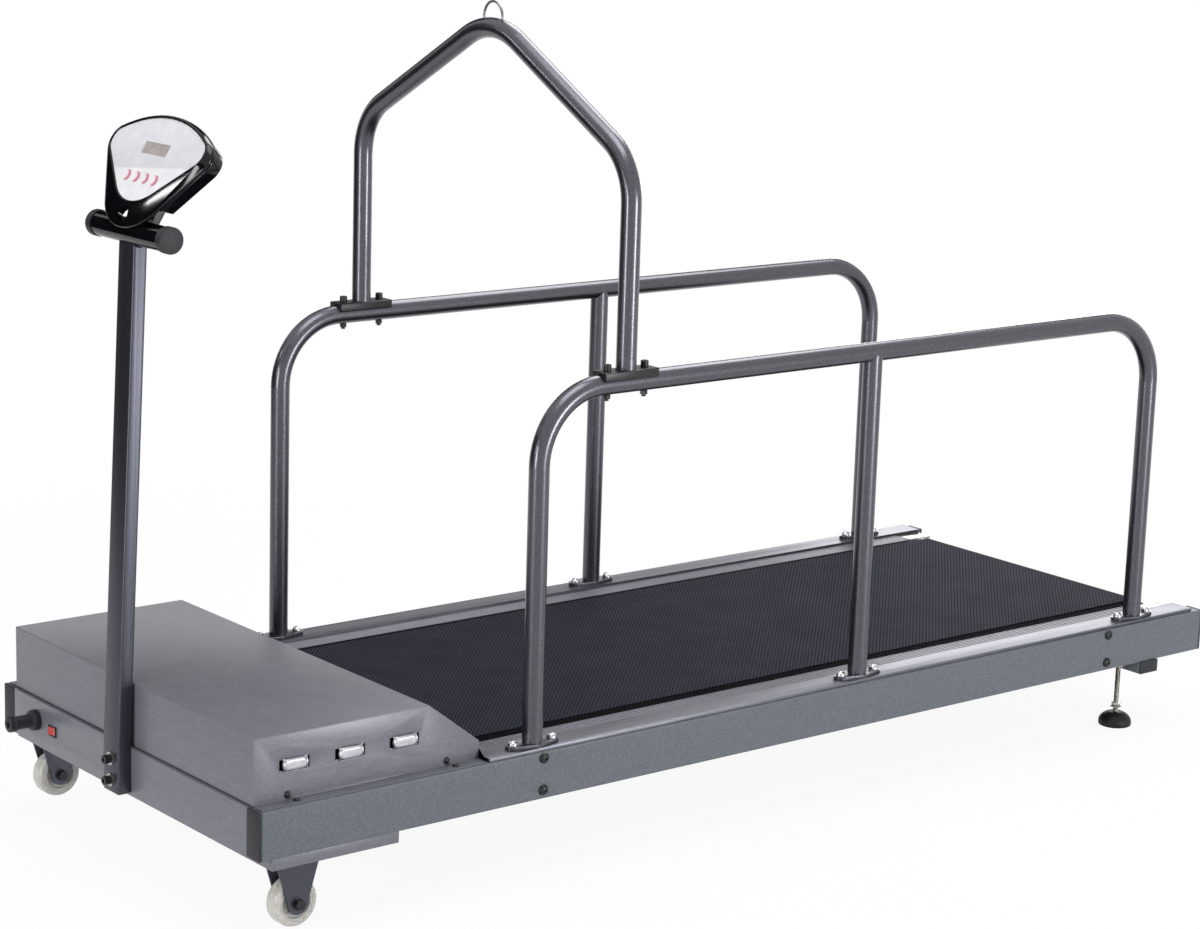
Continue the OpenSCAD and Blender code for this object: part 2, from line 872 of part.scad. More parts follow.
module roller_axle_blocks() {
  block_low = beam_top - roller_d;
  color(zinc) placed() both_sides() {
    difference() {
      block([front_roller_x - front_block_l / 2, beam_in - front_block_w, block_low],
            [front_roller_x + front_block_l / 2, beam_in, beam_top]);
      translate([front_roller_x, beam_in - front_block_w - over, roller_z])
        bar_y(roller_axle_d + 2 * run_gap, front_block_w + 2 * over);
    }
    difference() {
      block([rear_roller_x - rear_block_ahead, beam_in - rear_block_w, block_low],
            [rear_roller_x + rear_block_behind, beam_in, beam_top]);
      translate([rear_roller_x, beam_in - rear_block_w - over, roller_z])
        bar_y(roller_axle_d + 2 * run_gap, rear_block_w + 2 * over);
      translate([rear_roller_x, adjuster_y, roller_z])
        bar_x(frame_bolt_d + 2 * hole_gap, rear_block_behind + over);
    }
  }
}

// Bolts that press on the rear axle and set the belt's tension
module adjuster_bolts() {
  color(zinc) placed() both_sides() translate([rear_roller_x + rear_block_behind, adjuster_y, roller_z])
    rotate([0, 90, 0]) screw(
      frame_bolt_d, rear_block_behind - roller_axle_d / 2 - hole_gap, adjuster_head_d, adjuster_head_h);
}

// Drive

// Pulley on the end of the front roller, with a hub that fills the space between them
module roller_pulley() {
  color(steel) placed() translate([front_roller_x, 0, roller_z]) difference() {
    union() {
      translate([0, roller_l / 2, 0]) bar_y(pulley_hub_d, pulley_y1 - roller_l / 2);
      translate([0, pulley_y0, 0]) bar_y(roller_pulley_d, pulley_w);
    }
    bar_y(roller_axle_d + 2 * run_gap, pulley_y1 + over);
  }
}

module drive_motor() {
  color(black) placed() translate([motor_x, 0, motor_z]) difference() {
    union() {
      translate([0, motor_y0, 0]) bar_y(motor_d, motor_l);
      translate([0, motor_y0 - motor_boss_l, 0]) bar_y(motor_boss_d, motor_l + 2 * motor_boss_l);
    }
    translate([0, motor_y0 - motor_boss_l - over, 0])
      bar_y(motor_shaft_d + 2 * run_gap, motor_l + 2 * motor_boss_l + 2 * over);
  }
}

module motor_shaft() {
  color(steel) placed() translate([motor_x, motor_y0 - shaft_tail, motor_z])
    bar_y(motor_shaft_d, pulley_y1 + shaft_tip - motor_y0 + shaft_tail);
}

module flywheel_pulley() {
  color(steel) placed() translate([motor_x, 0, motor_z]) difference() {
    union() {
      translate([0, flywheel_y0, 0]) bar_y(flywheel_d, flywheel_w);
      translate([0, flywheel_y0, 0]) bar_y(pulley_neck_d, pulley_y1 - flywheel_y0);
      translate([0, pulley_y0, 0]) bar_y(motor_pulley_d, pulley_w);
    }
    translate([0, flywheel_y0 - over, 0])
      bar_y(motor_shaft_d + 2 * run_gap, pulley_y1 - flywheel_y0 + 2 * over);
  }
}

// Side view of a loop round the two pulleys, a given distance off their rims
module drive_outline(off) {
  hull() {
    translate([motor_x, motor_z]) circle(d = motor_pulley_d + 2 * off, $fn = outline_fn);
    translate([front_roller_x, roller_z]) circle(d = roller_pulley_d + 2 * off, $fn = outline_fn);
  }
}

module drive_belt() {
  color(black) placed() translate([0, pulley_y1 - drive_belt_margin, 0]) rotate([90, 0, 0])
    linear_extrude(pulley_w - 2 * drive_belt_margin) difference() {
      drive_outline(2 * move_gap + drive_belt_t);
      drive_outline(2 * move_gap);
    }
}

// Finned box on the tray floor
module motor_controller() {
  fin_count = floor(controller_l / fin_pitch);
  color(steel) placed() translate([controller_x, controller_y, tray_floor]) {
    cube([controller_l, controller_w, controller_h]);
    for (i = [0 : fin_count - 1]) translate([i * fin_pitch, 0, 0])
      cube([fin_t, controller_w, controller_h + fin_h]);
  }
}

// Motor hood

// Side view of the hood, drawn in by an even thickness and run past its open bottom
module hood_outline(inset, low) {
  slope_top_x = hood_top_end - inset * (hood_slope_l - hood_slope_dx) / hood_slope_dz;
  slope_end_z = hood_rear_top - inset * (hood_slope_l - hood_slope_dz) / hood_slope_dx;
  polygon([
    [hood_x + inset, low],
    [hood_x + inset, hood_top - inset],
    [slope_top_x, hood_top - inset],
    [hood_end - inset, slope_end_z],
    [hood_end - inset, low]
  ]);
}

module at_slots() {
  for (i = [0 : slot_count - 1])
    translate([slot_x + i * slot_pitch, hood_y, slot_z]) children();
}

module motor_hood() {
  color(hood_grey) placed() difference() {
    union() {
      rotate([90, 0, 0]) linear_extrude(2 * hood_y, center = true) hood_outline(0, beam_top);
      block([hood_x, -hood_y - hood_flange_w, beam_top],
            [hood_end, hood_y + hood_flange_w, beam_top + hood_t]);
    }
    rotate([90, 0, 0]) linear_extrude(2 * hood_in, center = true) hood_outline(hood_t, beam_top - over);
    block([hood_end - hood_t - over, -hood_in, beam_top - over],
          [hood_end + over, hood_in, beam_top + hood_lip_h]);
    both_sides() {
      at_slots() block([-slot_l / 2, -hood_t - over, -slot_h / 2], [slot_l / 2, over, slot_h / 2]);
      at_flange_screws() screw_hole(hood_screw_d, hood_t + over);
      at_wall_screws() translate([0, 0, over]) screw_hole(hood_screw_d, hood_t + 2 * over);
    }
  }
}

// Cross-section of a bowed louvre: flat legs through the sheet and a round bow outside it
module louvre_section(inset) {
  half_h = louvre_h / 2 - inset;
  rise = louvre_rise - inset;
  bow_r = (pow(half_h, 2) + pow(rise, 2)) / (2 * rise);
  translate([-hood_t - louvre_t, -half_h]) square([hood_t + louvre_t, 2 * half_h]);
  intersection() {
    translate([rise - bow_r, 0]) circle(r = bow_r);
    translate([-louvre_t, -half_h]) square([louvre_t + rise, 2 * half_h]);
  }
}

// Bright bows that cover the middle of each vent slot, each with a frame behind the sheet
module vent_louvres() {
  frame_l = slot_l + 2 * louvre_lap;
  frame_h = slot_h + 2 * louvre_lap;
  color(aluminium) placed() both_sides() at_slots() {
    rotate([90, 0, 90]) linear_extrude(louvre_l, center = true) difference() {
      louvre_section(0);
      louvre_section(louvre_t);
      translate([-hood_t - 2 * louvre_t, -louvre_h / 2 + louvre_t])
        square([hood_t + louvre_t, louvre_h - 2 * louvre_t]);
    }
    difference() {
      block([-frame_l / 2, -hood_t - louvre_t, -frame_h / 2], [frame_l / 2, -hood_t, frame_h / 2]);
      block([-slot_l / 2, -hood_t - louvre_t - over, -louvre_h / 2 + louvre_t],
            [slot_l / 2, over, louvre_h / 2 - louvre_t]);
    }
  }
}

module hood_screws() {
  color(black) placed() both_sides() {
    at_flange_screws() domed_screw(hood_screw_d, hood_screw_l, hood_head_d, hood_head_h);
    at_wall_screws() {
      domed_screw(hood_screw_d, hood_screw_l, hood_head_d, hood_head_h);
      translate([0, 0, -hood_t - hood_nut_h]) nut(hood_screw_d, hood_nut_w, hood_nut_h);
    }
  }
}

// Power inlet and switch

module power_inlet_gland() {
  thread_l = gland_reach + plate_t + gland_nut_h + gland_tail;
  color(black) placed() translate([0, gland_y, gland_z]) {
    difference() {
      union() {
        translate([-gland_flange_l, 0, 0]) bar_x(gland_flange_d, gland_flange_l);
        translate([-gland_reach, 0, 0]) bar_x(gland_body_d, gland_reach);
        translate([-gland_reach, 0, 0]) bar_x(gland_grip_d, gland_grip_l);
        translate([-gland_reach, 0, 0]) bar_x(gland_thread_d, thread_l);
      }
      translate([-gland_reach - over, 0, 0]) bar_x(gland_bore_d, thread_l + 2 * over);
    }
    translate([plate_t, 0, 0]) rotate([0, 90, 0]) nut(gland_thread_d, gland_nut_w, gland_nut_h);
  }
}

// Snap-in frame of the rocker switch, open at the front
module switch_bezel() {
  cavity_l = switch_body_l - 2 * switch_wall;
  cavity_w = switch_body_w - 2 * switch_wall;
  color(black) placed() translate([0, switch_y, switch_z]) difference() {
    union() {
      block([-switch_bezel_t, -switch_l / 2, -switch_w / 2], [0, switch_l / 2, switch_w / 2]);
      block([-switch_bezel_t, -switch_body_l / 2, -switch_body_w / 2],
            [switch_depth, switch_body_l / 2, switch_body_w / 2]);
    }
    block([-switch_bezel_t - over, -cavity_l / 2, -cavity_w / 2],
          [switch_depth - switch_back_t, cavity_l / 2, cavity_w / 2]);
    translate([rocker_pivot, 0, -switch_w / 2])
      cylinder(d = trunnion_d + 2 * run_gap, h = switch_w);
  }
}

// Rocker with two pivot stubs, drawn tipped to its off side
module switch_rocker() {
  pin_l = switch_body_w - 2 * move_gap;
  foot = rocker_foot_share * rocker_half_l;
  color("#c8372f") placed() translate([rocker_pivot, switch_y, switch_z]) rotate([0, 0, rocker_rest]) {
    linear_extrude(rocker_w, center = true) polygon([
      [-rocker_end_h, -rocker_half_l],
      [-rocker_mid_h, 0],
      [-rocker_end_h, rocker_half_l],
      [0, rocker_half_l],
      [rocker_foot_h, foot],
      [rocker_foot_h, -foot],
      [0, -rocker_half_l]
    ]);
    cylinder(d = trunnion_d, h = pin_l, center = true);
  }
}

// Console post and crossbar

// Side view of the post: upright against the end plate, then leaning back
module post_outline(inset, low, high) {
  lean_x = tan(post_lean) * (high - post_bend_z);
  polygon([
    [-post_depth + inset, low],
    [-inset, low],
    [-inset, post_bend_z],
    [lean_x - inset, high],
    [lean_x - post_depth + inset, high],
    [-post_depth + inset, post_bend_z]
  ]);
}

module console_post() {
  color(post_grey) placed() difference() {
    rotate([90, 0, 0]) linear_extrude(post_w, center = true) post_outline(0, post_foot, crossbar_z);
    rotate([90, 0, 0]) linear_extrude(post_w - 2 * post_wall, center = true)
      post_outline(post_wall, post_foot + post_wall, crossbar_z + over);
    translate([crossbar_x, -post_w, crossbar_z]) bar_y(crossbar_d + 2 * hole_gap, 2 * post_w);
    at_post_bolts() screw_hole(frame_bolt_d, post_washer_t + post_depth + over);
  }
}

// Socket-head bolts of the post, each with a washer in front and a nut behind the end plate
module post_bolts() {
  grip = post_washer_t + post_depth + plate_t;
  color(black) placed() at_post_bolts() {
    difference() {
      screw(frame_bolt_d, grip + frame_bolt_tail, post_head_d, post_head_h);
      translate([0, 0, post_head_h - post_socket_depth])
        cylinder(d = post_socket_d, h = post_socket_depth + over, $fn = 6);
    }
    translate([0, 0, -post_washer_t]) difference() {
      cylinder(d = post_washer_d, h = post_washer_t);
      translate([0, 0, -over]) cylinder(d = frame_bolt_d + 2 * hole_gap, h = post_washer_t + 2 * over);
    }
    translate([0, 0, -grip - frame_nut_h]) nut(frame_bolt_d, frame_nut_w, frame_nut_h);
  }
}

module console_crossbar() {
  bar_l = crossbar_l - 2 * bar_cap_t;
  color(black) placed() translate([crossbar_x, -bar_l / 2, crossbar_z]) difference() {
    bar_y(crossbar_d, bar_l);
    translate([0, -over, 0]) bar_y(crossbar_d - 2 * post_wall, bar_l + 2 * over);
  }
}

// Console

// Turns a piece drawn on the console face into place: x to the left, y up the face, z out of it
module on_console() {
  translate([crossbar_x, 0, crossbar_z]) rotate([0, console_tilt, 0]) rotate([90, 0, -90])
    translate([0, -crossbar_up, crossbar_back]) children();
}

// Slice of a disc between two angles
module arc(r, from, to) {
  polygon([for (i = [0 : arc_steps])
    let (a = from + (to - from) * i / arc_steps) [r * cos(a), r * sin(a)]]);
}

// Shield with two round corners, a round tip and a broad crown that meets the corners smoothly
module shield(half_w, side_r, low_t, low_r, top_t, top_r, inset) {
  reach = half_w - side_r;
  top_angle = asin(reach / (top_r - side_r));
  side_t = top_t - top_r + (top_r - side_r) * cos(top_angle);
  hull() {
    for (side = [-1, 1]) translate([side * reach, side_t]) circle(r = side_r - inset, $fn = outline_fn);
    translate([0, top_t - top_r]) arc(top_r - inset, 90 - top_angle, 90 + top_angle);
    translate([0, low_t + low_r]) arc(low_r - inset, 270 - tip_reach, 270 + tip_reach);
  }
}

// Outline of the bezel, drawn in by an even width
module bezel_outline(inset) {
  shield(console_w / 2, corner_r, 0, tip_r, console_h, crown_r, inset);
}

// Outline of the white face plate, drawn in by an even width
module face_outline(inset) {
  shield(console_w / 2 - face_side, face_corner_r, face_tip_t, face_tip_r, console_h - face_top, face_crown_r,
         inset);
}

// Outline of the back shell, which stops short of the tip, drawn in by an even width
module shell_outline(inset) {
  intersection() {
    bezel_outline(inset);
    translate([-console_w / 2, shell_low_t + inset]) square([console_w, console_h]);
  }
}

// Body from a front level back to a depth behind the bezel, with drafted sides
module shell_body(inset, front, depth) {
  hull() {
    translate([0, 0, front - over]) linear_extrude(over) shell_outline(inset);
    translate([0, 0, -depth]) linear_extrude(over) shell_outline(inset + shell_draft);
  }
}

module console_bracket() {
  color(black) placed() difference() {
    on_console() block([-bracket_w / 2, bracket_low_t, -shell_depth - bracket_t],
                       [bracket_w / 2, bracket_high_t, -shell_depth]);
    translate([crossbar_x, -bracket_w, crossbar_z]) bar_y(crossbar_d + 2 * hole_gap, 2 * bracket_w);
  }
}

module console_back() {
  color(black) placed() on_console() difference() {
    shell_body(0, 0, shell_depth);
    shell_body(shell_wall, over, shell_depth - shell_wall);
  }
}

module console_bezel() {
  color(black) placed() on_console() difference() {
    hull() {
      linear_extrude(bezel_flank_t) bezel_outline(0);
      linear_extrude(bezel_t) face_outline(-bezel_rim);
    }
    translate([0, 0, face_z]) linear_extrude(bezel_t) face_outline(-plug_gap);
    translate([0, 0, -over]) linear_extrude(bezel_t) face_outline(face_ledge);
    translate([0, tip_hole_t, -over]) cylinder(d = tip_hole_d, h = bezel_t + 2 * over);
  }
}

module display_plan(room) {
  translate([-display_w / 2 - room, display_t - display_h / 2 - room])
    square([display_w + 2 * room, display_h + 2 * room]);
}

// Crescent plan of a button, centred on its own round, grown by a clearance
module button_plan(room) {
  difference() {
    circle(d = button_d + 2 * room);
    translate([-button_cut_shift, 0]) circle(d = button_cut_d - 2 * room);
  }
}

function button_s(i) = (i - (button_count + 1) / 2) * button_pitch;

module console_face() {
  color(white) placed() on_console() translate([0, 0, face_z]) linear_extrude(face_t) difference() {
    face_outline(0);
    display_plan(plug_gap);
    for (i = [1 : button_count]) translate([button_s(i), button_t]) button_plan(move_gap);
  }
}

module console_display() {
  color("#a39c98") placed() on_console() linear_extrude(face_z + face_t - display_recess) display_plan(0);
}

module console_board() {
  color("#2f5f43") placed() on_console()
    block([-board_half_w, board_low_t, -board_t], [board_half_w, board_high_t, 0]);
}

module console_button(i) {
  low = button_travel + move_gap;
  color("#d98a98") placed() on_console() translate([button_s(i), button_t, low])
    linear_extrude(face_z + face_t + button_rise - low) button_plan(0);
}

module console_button_1() {
  console_button(1);
}

module console_button_2() {
  console_button(2);
}

module console_button_3() {
  console_button(3);
}

module console_button_4() {
  console_button(4);
}

// Handrails

// A straight stretch of round bar up Z, seated in the bends at its ends; what follows starts at its end
module stretch(d, l, before = bend_seat, after = bend_seat) {
  translate([0, 0, -before]) cylinder(d = d, h = before + l + after);
  translate([0, 0, l]) children();
}

// A bend of round bar from Z towards -Y; what follows starts at its end
module turn(d, r, angle) {
  translate([0, -r, 0]) {
    rotate([90, 0, 90]) rotate_extrude(angle = angle) translate([r, 0]) circle(d = d + 2 * bend_swell);
    rotate([angle, 0, 0]) translate([0, r, 0]) children();
  }
}

// Bent rail from the foot of its front post to the foot of its rear one, run past both feet
module handrail_run(d, past) {
  post_l = handrail_h - handrail_bend_r;
  top_l = handrail_rear_x - handrail_front_x - 2 * handrail_bend_r;
  translate([handrail_front_x, handrail_y, post_foot_z]) rotate([0, 0, 90])
    stretch(d, post_l, before = past) turn(d, handrail_bend_r, 90) stretch(d, top_l)
    turn(d, handrail_bend_r, 90) stretch(d, post_l, after = past);
}

module handrail() {
  difference() {
    handrail_run(tube_d, 0);
    handrail_run(tube_d - 2 * tube_wall, over);
    at_saddle_bolts() screw_hole(rail_bolt_d, saddle_t + tube_d + over);
  }
}

module handrail_left() {
  color(tube_grey) placed() left_side() handrail();
}

module handrail_right() {
  color(tube_grey) placed() handrail();
}

// Middle posts, notched to fit under the top rails
module rail_mid_posts() {
  color(tube_grey) placed() both_sides() difference() {
    translate([handrail_mid_x, handrail_y, post_foot_z]) cylinder(d = tube_d, h = handrail_h);
    translate([handrail_mid_x, handrail_y, post_foot_z - over])
      cylinder(d = tube_d - 2 * tube_wall, h = handrail_h + 2 * over);
    translate([handrail_mid_x - tube_d, handrail_y, handrail_z]) bar_x(tube_d + 2 * hole_gap, 2 * tube_d);
  }
}

// Flange plates that narrow to round ends
module post_base_plates() {
  end_r = (base_plate_l - base_bolt_spread) / 2;
  color(tube_grey) placed() both_sides() difference() {
    for (x = post_xs) translate([x, handrail_y, rail_top]) linear_extrude(base_plate_t) hull() {
      circle(d = base_plate_w, $fn = outline_fn);
      for (side = [-1, 1]) translate([side * base_bolt_spread / 2, 0]) circle(r = end_r, $fn = outline_fn);
    }
    at_base_bolts() translate([0, 0, over]) screw_hole(rail_bolt_d, base_plate_t + 2 * over);
  }
}

// Bolts through plate, foot rail and beam top, with their nuts inside the beam
module base_plate_bolts() {
  grip = post_foot_z - beam_top + frame_wall;
  color(zinc) placed() both_sides() at_base_bolts() {
    domed_screw(rail_bolt_d, grip + rail_nut_h + base_bolt_tail, base_head_d, base_head_h);
    translate([0, 0, -grip - rail_nut_h]) nut(rail_bolt_d, rail_nut_w, rail_nut_h);
  }
}

// Leash arch

// Bent arch from its right foot to its left one, run past both feet
module arch_run(d, past) {
  leg_l = arch_shoulder_h - shoulder_run - tube_d / 2 - saddle_t;
  translate([arch_x, handrail_y, arch_foot_z])
    stretch(d, leg_l, before = past) turn(d, arch_shoulder_r, arch_turn) stretch(d, slope_l)
    turn(d, arch_peak_r, 2 * arch_slope)
    stretch(d, slope_l) turn(d, arch_shoulder_r, arch_turn) stretch(d, leg_l, after = past);
}

module leash_arch() {
  color(tube_grey) placed() difference() {
    arch_run(tube_d, 0);
    arch_run(tube_d - 2 * tube_wall, over);
  }
}

// Saddle blocks that straddle the top rails under the arch
module arch_saddles() {
  color(tube_grey) placed() both_sides() difference() {
    block([arch_x - saddle_l / 2, handrail_y - saddle_w / 2, arch_foot_z - saddle_t - saddle_wrap],
          [arch_x + saddle_l / 2, handrail_y + saddle_w / 2, arch_foot_z]);
    translate([arch_x - saddle_l, handrail_y, handrail_z]) bar_x(tube_d + 2 * hole_gap, 2 * saddle_l);
    at_saddle_bolts() translate([0, 0, over]) screw_hole(rail_bolt_d, saddle_t + saddle_wrap + over);
  }
}

module arch_bolts() {
  grip = saddle_t + tube_d + hole_gap;
  color(black) placed() both_sides() at_saddle_bolts() {
    screw(rail_bolt_d, grip + rail_nut_h + arch_bolt_tail, rail_head_d, arch_head_h);
    translate([0, 0, -grip - rail_nut_h]) nut(rail_bolt_d, rail_nut_w, rail_nut_h);
  }
}

// Wire loop welded on the peak of the arch
module leash_eye() {
  leg_l = eye_z - eye_foot_z;
  color(steel) placed() translate([arch_x, eye_r, eye_foot_z])
    stretch(eye_wire_d, leg_l, before = 0) turn(eye_wire_d, eye_r, 180) stretch(eye_wire_d, leg_l, after = 0);
}

// Casters

// Side view of a caster ear: wide at the tray, round at the axle
module ear_plan() {
  difference() {
    union() {
      circle(r = ear_r);
      polygon([
        [-ear_r, 0], [ear_r, 0],
        [caster_plate_l / 2, tray_z - wheel_r], [-caster_plate_l / 2, tray_z - wheel_r]
      ]);
    }
    circle(d = caster_axle_d + 2 * run_gap);
  }
}

module caster_brackets() {
  color(post_grey) placed() both_sides() translate([caster_x, caster_y, 0]) {
    block([-caster_plate_l / 2, -caster_plate_w / 2, tray_z - caster_plate_t],
          [caster_plate_l / 2, caster_plate_w / 2, tray_z]);
    for (y = [caster_plate_w / 2, -caster_plate_w / 2 + ear_t]) translate([0, y, wheel_r])
      rotate([90, 0, 0]) linear_extrude(ear_t) ear_plan();
  }
}

// Half section of a wheel: rounded tread, recessed sides and a bore
module wheel_section() {
  bore_r = caster_axle_d / 2 + run_gap;
  difference() {
    union() {
      translate([bore_r, -wheel_w / 2]) square([wheel_r - wheel_edge_r - bore_r, wheel_w]);
      translate([bore_r, -wheel_w / 2 + wheel_edge_r]) square([wheel_r - bore_r, wheel_w - 2 * wheel_edge_r]);
      for (side = [-1, 1]) translate([wheel_r - wheel_edge_r, side * (wheel_w / 2 - wheel_edge_r)])
        circle(r = wheel_edge_r);
    }
    for (low = [-wheel_w / 2 - over, wheel_w / 2 - wheel_recess])
      translate([wheel_recess_in_r, low])
        square([wheel_recess_out_r - wheel_recess_in_r, wheel_recess + over]);
  }
}

module caster_wheel() {
  translate([caster_x, caster_y, wheel_r]) rotate([90, 0, 0]) rotate_extrude() wheel_section();
}

module caster_wheel_left() {
  color(cream) placed() left_side() caster_wheel();
}

module caster_wheel_right() {
  color(cream) placed() caster_wheel();
}

// Axle bolts of the casters, head outside and nut inside
module caster_axles() {
  color(black) placed() both_sides() translate([caster_x, caster_y + caster_plate_w / 2, wheel_r])
    rotate([-90, 0, 0]) {
      translate([0, 0, -caster_plate_w - caster_head_h])
        cylinder(d = caster_axle_d, h = caster_plate_w + 2 * caster_head_h);
      cylinder(d = caster_head_w * nut_corner_share, h = caster_head_h, $fn = 6);
      translate([0, 0, -caster_plate_w - caster_head_h]) nut(caster_axle_d, caster_head_w, caster_head_h);
    }
}

// Levelling feet

// Stud with its lock nut, turned in from below
module foot_stud() {
  nut_z = pad_h + lock_nut_lift;
  at_foot() {
    translate([0, 0, pad_socket]) cylinder(d = stud_d, h = stud_top - pad_socket);
    difference() {
      union() {
        translate([0, 0, nut_z]) cylinder(d = foot_flange_d, h = foot_flange_t);
        translate([0, 0, nut_z]) cylinder(d = foot_nut_w * nut_corner_share, h = foot_nut_h, $fn = 6);
      }
      translate([0, 0, nut_z - over]) cylinder(d = stud_d + 2 * run_gap, h = foot_nut_h + 2 * over);
    }
  }
}

module foot_stud_left() {
  color(zinc) placed() left_side() foot_stud();
}

module foot_stud_right() {
  color(zinc) placed() foot_stud();
}

// Domed rubber pad with a socket for the stud
module foot_pad() {
  dome_steps = 8;
  at_foot() difference() {
    rotate_extrude() polygon(concat(
      [[0, 0], [pad_d / 2, 0]],
      [for (i = [0 : dome_steps]) [
        pad_neck_d / 2 + (pad_d - pad_neck_d) / 2 * cos(90 * i / dome_steps),
        pad_rim_h + (pad_h - pad_rim_h) * sin(90 * i / dome_steps)
      ]],
      [[0, pad_h]]
    ));
    translate([0, 0, pad_socket]) cylinder(d = stud_d + 2 * run_gap, h = pad_h);
  }
}

module foot_pad_left() {
  color(black) placed() left_side() foot_pad();
}

module foot_pad_right() {
  color(black) placed() foot_pad();
}

// Nuts welded under the beams for the studs
module foot_nuts() {
  color(zinc) placed() both_sides() at_foot() translate([0, 0, beam_z - foot_nut_h])
    nut(stud_d, foot_nut_w, foot_nut_h);
}

side_beam_left();
side_beam_right();
tube_end_caps();
front_end_plate();
motor_tray();
deck_crossmembers();
rear_foot_crossmember();
beam_bolts();
running_deck();
running_belt();
foot_rail_left();
foot_rail_right();
front_roller();
rear_roller();
roller_axles();
roller_axle_blocks();
adjuster_bolts();
roller_pulley();
drive_motor();
motor_shaft();
flywheel_pulley();
drive_belt();
motor_controller();
motor_hood();
vent_louvres();
hood_screws();
power_inlet_gland();
switch_bezel();
switch_rocker();
console_post();
post_bolts();
console_crossbar();
console_bracket();
console_back();
console_bezel();
console_face();
console_display();
console_board();
console_button_1();
console_button_2();
console_button_3();
console_button_4();
handrail_left();
handrail_right();
rail_mid_posts();
post_base_plates();
base_plate_bolts();
leash_arch();
arch_saddles();
arch_bolts();
leash_eye();
caster_brackets();
caster_wheel_left();
caster_wheel_right();
caster_axles();
foot_stud_left();
foot_stud_right();
foot_pad_left();
foot_pad_right();
foot_nuts();
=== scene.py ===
# %% [markdown]
# # A treadmill with handrails
# The solids come from a workshop model, packed with their bodies and joints. Blender could rebuild
# them, but their sizes are right already, so this lesson keeps them, gives each one its finish, and
# remodels the small pieces that the eye rests on.

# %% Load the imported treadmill
import json
import math

import bpy
from mathutils import Matrix, Vector

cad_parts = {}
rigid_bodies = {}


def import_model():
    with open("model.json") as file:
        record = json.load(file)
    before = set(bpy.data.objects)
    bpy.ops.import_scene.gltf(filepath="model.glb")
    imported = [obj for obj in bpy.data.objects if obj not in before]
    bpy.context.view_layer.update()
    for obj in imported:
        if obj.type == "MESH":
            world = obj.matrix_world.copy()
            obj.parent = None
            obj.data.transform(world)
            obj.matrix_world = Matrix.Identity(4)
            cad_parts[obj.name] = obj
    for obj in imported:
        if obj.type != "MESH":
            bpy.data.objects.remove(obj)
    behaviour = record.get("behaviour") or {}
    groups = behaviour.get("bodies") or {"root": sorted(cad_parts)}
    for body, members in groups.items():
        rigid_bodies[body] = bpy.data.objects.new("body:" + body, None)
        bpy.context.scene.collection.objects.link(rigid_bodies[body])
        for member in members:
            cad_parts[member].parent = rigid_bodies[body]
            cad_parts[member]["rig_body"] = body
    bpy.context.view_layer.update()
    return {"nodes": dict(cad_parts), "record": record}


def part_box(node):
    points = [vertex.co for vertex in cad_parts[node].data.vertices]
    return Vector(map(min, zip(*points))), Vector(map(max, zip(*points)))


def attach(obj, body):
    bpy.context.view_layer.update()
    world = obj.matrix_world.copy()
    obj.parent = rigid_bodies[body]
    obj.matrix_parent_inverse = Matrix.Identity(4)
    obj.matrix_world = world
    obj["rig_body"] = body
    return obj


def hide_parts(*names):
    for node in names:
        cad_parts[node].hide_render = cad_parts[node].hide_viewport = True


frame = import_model()
slot_of = {part["node"]: part["material_slot"] for part in frame["record"]["subparts"]}
print("pieces from the workshop model:", len(frame["nodes"]))

# %% [markdown]
# ## The camera
# The picture was taken with a long lens from the front left corner, from above the console's height. A
# camera can be aimed with a Track To constraint, but a small roll is easier to give as a rotation
# matrix: its columns are the directions to the right, upwards and back towards the lens.

# %% Camera
camera_place = Vector((-2.7827, -3.3359, 1.4113))
lens_mm, sensor_mm = 89.6, 36
azimuth, elevation, roll = (math.radians(angle) for angle in (-39.1, 12.5, 1.8))
back = Vector((
    math.sin(azimuth) * math.cos(elevation),
    -math.cos(azimuth) * math.cos(elevation),
    math.sin(elevation),
))
level = Vector((math.cos(azimuth), math.sin(azimuth), 0))
upright = back.cross(level)
right = level * math.cos(roll) + upright * math.sin(roll)
up = upright * math.cos(roll) - level * math.sin(roll)

bpy.ops.object.select_all(action="DESELECT")
bpy.ops.object.camera_add(location=camera_place)
camera = bpy.context.active_object
camera.matrix_world = Matrix.Translation(camera_place) @ Matrix((right, up, back)).transposed().to_4x4()
camera.data.sensor_fit = "HORIZONTAL"
camera.data.sensor_width = sensor_mm
camera.data.lens = lens_mm
bpy.context.scene.camera = camera
print("lens in mm:", round(camera.data.lens, 1))

# %% [markdown]
# ## Colours and nodes
# Paint colours are noted as sRGB hex values, as a colour picker shows them, but a shader works with
# linear light, so one function turns the first into the second. Nodes could be placed by hand in the
# shader editor. Here a second small function adds any node, with its settings and links, so that each
# finish below reads as a short list.

# %% Colour and node helpers
def linear(hex_colour):
    """sRGB hex as linear RGBA."""
    parts = [int(hex_colour[i:i + 2], 16) / 255 for i in (1, 3, 5)]
    return [p / 12.92 if p <= 0.04045 else ((p + 0.055) / 1.055) ** 2.4 for p in parts] + [1]


def add(tree, kind, inputs=None, stops=(), into=None, **settings):
    """Adds a node with settings, values or links for its inputs, colour stops and a link onwards."""
    made = tree.nodes.new(kind)
    for name, value in settings.items():
        setattr(made, name, value)
    for name, value in (inputs or {}).items():
        if isinstance(value, bpy.types.NodeSocket):
            tree.links.new(value, made.inputs[name])
        else:
            made.inputs[name].default_value = value
    for i, (position, colour) in enumerate(stops):
        elements = made.color_ramp.elements
        element = elements[i] if i < len(elements) else elements.new(position)
        element.position = position
        element.color = linear(colour)
    if into:
        tree.links.new(made.outputs[0], into)
    return made


